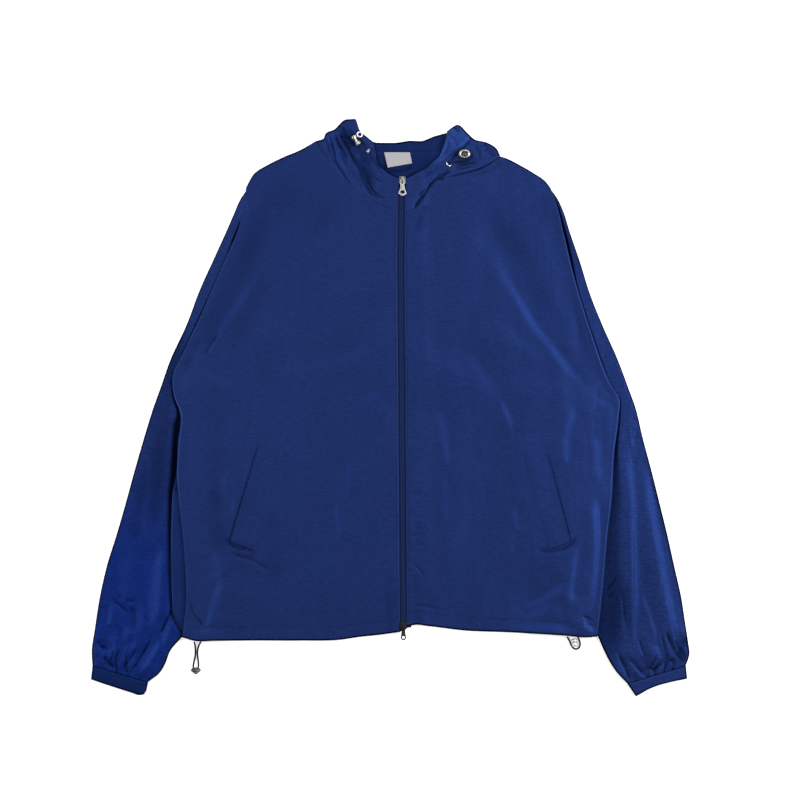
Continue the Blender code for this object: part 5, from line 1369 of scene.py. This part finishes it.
def add_welt(name, node, corners, front, mouth):
    """A strip on a front; mouth is the share across it, 0 or 1, where its open edge is."""
    u, v = graded(WELT_CELLS[0], 0.6), graded(WELT_CELLS[1], 0.4)
    plan = four_sided(corners, u, v)
    x, y = plan[..., 0], plan[..., 1]
    u, v = np.meshgrid(u, v)
    to_mouth = np.abs(u - mouth)
    ends = np.minimum(v, 1 - v)
    height = (height_over(front, x, y) + 0.62
              + 0.2 * bell(to_mouth, 0.12) * smooth(ends / 0.12)
              - 0.45 * bell(1 - to_mouth, 0.1) - 0.45 * bell(ends, 0.03)
              + 0.18 * np.sin(y * 0.21 + x * 0.07) * (1 - to_mouth))
    # painted shade: a dark line along the mouth, and along the welt's foot
    line = bell(to_mouth, 0.05) * (0.62 + 0.28 * smooth((1 - v) / 0.9)) * smooth((1 - v) / 0.1)
    foot = 0.4 * bell(v, 0.012)
    made = add_wall(name, node, np.dstack((plan, height)), shell_cloth, hollow=np.maximum(line, foot))
    declare(plan)


add_welt("pocket_welt_left_shell", "pocket_welt_left", LEFT_WELT, front_left, 0)
add_welt("pocket_welt_right_shell", "pocket_welt_right", RIGHT_WELT, front_right, 1)


def add_label():
    """The neck label: held along its top edge, so it curls up at its foot and its sides."""
    u, v = graded(LABEL_CELLS[0]), graded(LABEL_CELLS[1])
    plan = four_sided(NECK_LABEL, u, v)
    x, y = plan[..., 0], plan[..., 1]
    u, v = np.meshgrid(u, v)
    curl = 0.8 * (1 - v) ** 2 + 0.5 * (u - 0.5) ** 2
    height = back_top(x, y) + 1.1 + curl - 0.3 * bell(1 - v, 0.05)
    made = add_wall("neck_label_satin", "neck_label", np.dstack((plan, height)), label_satin,
                    "label_cloth", 0.5)
    declare(plan)


add_label()

# %% [markdown]
# ## The zip
# A coil zip is two woven tapes, each with a spiral of nylon sewn along its edge. Every turn of
# the spiral shows as one small bar. The bars are one six-sided template, copied as arrays: the
# two rows are half a pitch apart, which is what makes them lock.

# %% Copies of a small shape
def capsule(length, radius):
    """A rounded bar along X: rings of six points whose radius shrinks at both ends."""
    sides = 6
    turn = np.linspace(0, 2 * math.pi, sides, endpoint=False)
    rings = ((-0.5, 0.5), (-0.36, 1.0), (0.36, 1.0), (0.5, 0.5))
    points = np.array([(t * length, r * radius * math.cos(a), r * radius * math.sin(a))
                       for t, r in rings for a in turn])
    faces = [[k * sides + j, k * sides + (j + 1) % sides, (k + 1) * sides + (j + 1) % sides,
              (k + 1) * sides + j] for k in range(len(rings) - 1) for j in range(sides)]
    faces += [list(range(sides))[::-1], list(range((len(rings) - 1) * sides, len(rings) * sides))]
    return points, faces


def add_copies(name, template, places, along_x, finish):
    """One mesh of many copies of a template, each turned so that its X follows along_x."""
    points, faces = template
    along_x = along_x / np.linalg.norm(along_x, axis=1, keepdims=True)
    up = np.array((0.0, 0.0, 1.0))
    along_y = np.cross(up, along_x)
    along_y /= np.linalg.norm(along_y, axis=1, keepdims=True)
    along_z = np.cross(along_x, along_y)
    basis = np.stack((along_x, along_y, along_z), axis=1)
    moved = np.einsum("pk,nkc->npc", points, basis) + places[:, None, :]
    count = len(points)
    shifted = [[index + n * count for index in face] for n in range(len(places)) for face in faces]
    mesh = bpy.data.meshes.new(name)
    mesh.from_pydata((moved.reshape(-1, 3) * MM).tolist(), [], shifted)
    mesh.shade_smooth()
    link(name, mesh, finish)
    print(name, "has", len(places), "copies")


print("a capsule has", len(capsule(1.0, 1.0)[1]), "faces")

# %% Tapes and teeth
TEETH_PITCH = 1.3
TEETH_LOW = -299.0
TEETH_HIGH = 311.0
TOOTH_LENGTH = 2.9
TOOTH_RADIUS = 0.52
TOOTH_FROM_CENTRE = 1.35
TOOTH_RISE = 0.35       # from the tape's face to a tooth's middle
TAPE_LOW = -307.6
TAPE_HIGH = 319.6
TAPE_FROM_CENTRE = 0.3
TAPE_CELLS = (10, 260)


def tape_top(x, y):
    """Upper face of the model's zip tape."""
    return front_level(x, y) + WALL + TAPE_RISE + TAPE_WALL


for side, word in ((-1, "left"), (1, "right")):
    u, v = graded(TAPE_CELLS[0], 0.3), np.linspace(0.0, 1.0, TAPE_CELLS[1] + 1)
    across = side * (TAPE_FROM_CENTRE + u * (TAPE_HALF - TAPE_FROM_CENTRE))
    south, north = (np.column_stack((across + zip_x(end), np.full_like(u, end)))
                    for end in (TAPE_LOW, TAPE_HIGH))
    y = TAPE_LOW + v * (TAPE_HIGH - TAPE_LOW)
    plan = patch(south, north, beside_zip(y, side, TAPE_FROM_CENTRE), beside_zip(y, side, TAPE_HALF),
                 u, v)
    x, y = plan[..., 0], plan[..., 1]
    made = add_wall(f"zip_tape_{word}_woven", f"zip_tape_{word}",
                    np.dstack((plan, tape_top(x, y) - 0.1)), zip_tape, "zip_tape", 0.5)
    declare(plan)
    tooth_y = np.arange(TEETH_LOW, TEETH_HIGH, TEETH_PITCH) + (TEETH_PITCH / 2 if side > 0 else 0.0)
    tooth_x = zip_x(tooth_y) + side * TOOTH_FROM_CENTRE
    places = np.column_stack((tooth_x, tooth_y, tape_top(tooth_x, tooth_y) + TOOTH_RISE))
    add_copies(f"zip_teeth_{word}", capsule(TOOTH_LENGTH, TOOTH_RADIUS), places,
               np.tile((1.0, 0.0, 0.0), (len(places), 1)), teeth_nylon)

# %% [markdown]
# ## Stitches
# Rows of topstitching hold the hem's channel, the folded edges beside the zip and the hood's
# tunnel. Each stitch is a small capsule that follows its row and sinks in at both ends.

# %% Stitches
STITCH_PITCH = 3.0
STITCH_LENGTH = 2.3
STITCH_RADIUS = 0.22
TUNNEL_ROW = -14        # the row of a hood side's grid that lies on its tunnel's stitched line


def add_row(name, line, grid):
    """A row of stitches along a line of plan points, set on a finished surface."""
    line = np.asarray(line, float)
    run = run_along(line)[-1]
    centres = along(line, np.arange(0.5, run / STITCH_PITCH) * STITCH_PITCH / run)
    step = np.gradient(centres, axis=0)
    height = height_over(grid, centres[:, 0], centres[:, 1])
    climb = np.gradient(height)
    places = np.column_stack((centres, height + STITCH_RADIUS * 0.35))
    add_copies(name, capsule(STITCH_LENGTH, STITCH_RADIUS), places, np.column_stack((step, climb)),
               thread)


for word, grid, hem, side in (("left", front_left, LEFT_HEM, -1),
                              ("right", front_right, RIGHT_HEM, 1)):
    hem_line = along(hem, np.linspace(0.02, 0.985, 40)) + [0, HEM_DEPTH]
    add_row(f"hem_stitches_{word}", hem_line, grid)
    edge_y = np.linspace(-300, 268, 40)
    add_row(f"zip_edge_stitches_{word}", beside_zip(edge_y, side, ZIP_OPENING + FOLD_DEPTH), grid)
for word, grid in (("left", hood_left), ("right", hood_right)):
    add_row(f"hood_tunnel_stitches_{word}", grid[TUNNEL_ROW, 6:-8:8, :2], grid)

# %% [markdown]
# ## Metal pieces
# The sliders and their pull tabs have the right shape in the model but hard edges. A copy is
# merged, then bevelled, so that its edges catch the light. The locks are turned from a smooth
# profile, and the rings are bent from a round wire.

# %% Sliders and pull tabs
def finer(node, name, finish, bevel, body=BODY, hole=None):
    """A merged copy of a node with rounded edges, standing for it.

    hole is the place and radius of a round hole that is stretched to an oval."""
    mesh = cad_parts[node].data.copy()
    mesh.name = name
    mesh.materials.clear()

    def merge(work):
        """Joins split corners, melts flat faces together and shapes the hole."""
        bmesh.ops.remove_doubles(work, verts=work.verts, dist=0.00002)
        bmesh.ops.dissolve_limit(work, angle_limit=math.radians(2), verts=work.verts,
                                 edges=work.edges)
        for vertex in work.verts if hole else ():
            centre = Vector(hole[:2]) * MM
            away = vertex.co.xy - centre
            if away.length < hole[2] * MM:
                vertex.co.x = centre.x + away.x * 1.6
                vertex.co.y = centre.y + away.y * 1.1

    rework(mesh, merge)
    made = link(name, mesh, finish, body)
    edge = made.modifiers.new("Edge", "BEVEL")
    edge.width = bevel * MM
    edge.segments = 3
    edge.limit_method = "ANGLE"
    edge.angle_limit = math.radians(35)
    edge.harden_normals = True
    mesh.shade_smooth()
    stand_for(node)


PULL_HOLE = (0.6, 300.4, 2.5)
finer("top_slider", "top_slider_plated", worn_and_shaded_silver, 0.18)
finer("top_pull", "top_pull_plated", silver, 0.25, "top_pull", PULL_HOLE)
finer("bottom_slider", "bottom_slider_enamel", dark_metal, 0.18)
finer("bottom_pull", "bottom_pull_enamel", dark_metal, 0.25, "bottom_pull")
print("sliders and pull tabs finished")


# %% Turned pieces
def add_turned(name, node, profile, place, direction, finish, oval=(1.0, 1.0)):
    """A surface of revolution: the profile of radius and distance, turned about its axis.

    oval stretches it across its axis, so that its rings become ovals."""
    profile = along(profile, np.linspace(0.0, 1.0, 48))
    angle = np.linspace(0, 2 * math.pi, 40, endpoint=False)
    radius, distance = np.maximum(profile[:, 0], 0.0)[:, None], profile[:, 1][:, None]
    ring = np.dstack((radius * np.cos(angle) * oval[0], radius * np.sin(angle) * oval[1],
                      distance * np.ones_like(angle)[None, :]))
    turn = np.array(Vector(direction).to_track_quat("Z", "Y").to_matrix())
    mesh = grid_mesh(name, ring @ turn.T + np.array(place), closed=True)
    rework(mesh, lambda work: bmesh.ops.remove_doubles(work, verts=work.verts, dist=0.00001))
    mesh.shade_smooth()
    made = link(name, mesh, finish)
    stand_for(node)
    return made


SPOOL = [(0.0, 7.5), (2.4, 7.5), (3.6, 7.0), (3.9, 5.6), (3.2, 3.6), (2.1, 1.4), (2.1, -1.4),
         (3.2, -3.6), (3.9, -5.6), (3.6, -7.0), (2.4, -7.5), (0.0, -7.5)]
CONE_LOCK = [(0.0, 9.8), (1.2, 9.6), (3.4, 7.9), (6.8, 4.8), (7.2, 3.9), (5.6, 1.6), (4.6, 0.2),
             (2.6, 0.0), (0.0, 0.0)]
BARREL_LOCK = [(0.0, 11.4), (2.6, 11.3), (4.1, 9.9), (4.2, 7.4), (3.4, 5.7), (4.2, 4.0),
               (4.1, 1.4), (2.8, 0.1), (0.0, 0.0)]
BUTTON_LOCK = [(0.0, 4.4), (2.4, 4.4), (3.4, 4.8), (4.4, 7.4), (5.4, 8.2), (6.8, 7.2), (7.9, 4.6),
               (7.4, 1.8), (5.0, 0.2), (0.0, 0.0)]
BUTTON_CAP = [(0.0, 6.2), (1.8, 6.0), (2.9, 5.2), (3.2, 4.6), (2.8, 4.2), (0.0, 4.2)]
print("the cone lock is", 2 * max(radius for radius, distance in CONE_LOCK), "mm across")


# %% Locks
def middle(node):
    """The middle of a node's box, in millimetres."""
    low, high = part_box(node)
    return (low + high) / (2 * MM)


add_turned("hood_spool", "hood_lock_left", SPOOL, middle("hood_lock_left"), (-0.57, 0.82, 0.0),
           brass)
button_foot = (87, 353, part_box("hood_lock_right")[0].z / MM)
for name, node, profile, finish in (("hood_button", "hood_lock_right", BUTTON_LOCK, brass),
                                    ("hood_button_cap", None, BUTTON_CAP, nickel)):
    add_turned(name, node, profile, button_foot, (0, 0, 1), finish, (1.08, 0.84))
cone_lock = add_turned("hem_cone_lock", "hem_lock_left", CONE_LOCK, (-288, -362.9, 7.4), (0, -1, 0),
                       nickel)
barrel_lock = add_turned("hem_barrel_lock", "hem_lock_right", BARREL_LOCK, (240.2, -323.2, 4.8),
                         (0.2, -0.98, 0), silver)


# %% Eyelets and rings
def add_ring(name, node, place, radius, wire, normal):
    """A round wire bent to a ring: radius to the wire's middle, and the wire's own radius."""
    turn, roll = np.linspace(0, 2 * math.pi, 48, endpoint=False), np.linspace(0, 2 * math.pi, 13)
    reach = radius + wire * np.cos(roll)[:, None]
    ring = np.dstack((reach * np.cos(turn), reach * np.sin(turn),
                      wire * np.sin(roll)[:, None] * np.ones_like(turn)))
    basis = np.array(Vector(normal).to_track_quat("Z", "Y").to_matrix())
    made = link(name, grid_mesh(name, ring @ basis.T + np.array(place), closed=True), silver)
    stand_for(node)


left_eye_z = middle("eyelet_left").z
right_eye_z = height_over(hood_right, np.array([65.8]), np.array([340.8]))[0]
add_ring("eyelet_left_plated", "eyelet_left", (-47.4, 357.6, left_eye_z - 0.2), 3.0, 0.6,
         (-0.93, 0.12, 0.42))
add_ring("eyelet_right_plated", "eyelet_right", (65.8, 340.8, right_eye_z + 0.1), 3.9, 0.85,
         (0.42, 0.48, 0.77))
add_ring("hood_lock_ring_plated", "hood_lock_left_ring",
         middle("hood_lock_left_ring") + Vector((0.6, -1.8, 0.0)), 3.5, 1.2, (0.2, 0.3, 1.0))
print("eyelets and ring made")
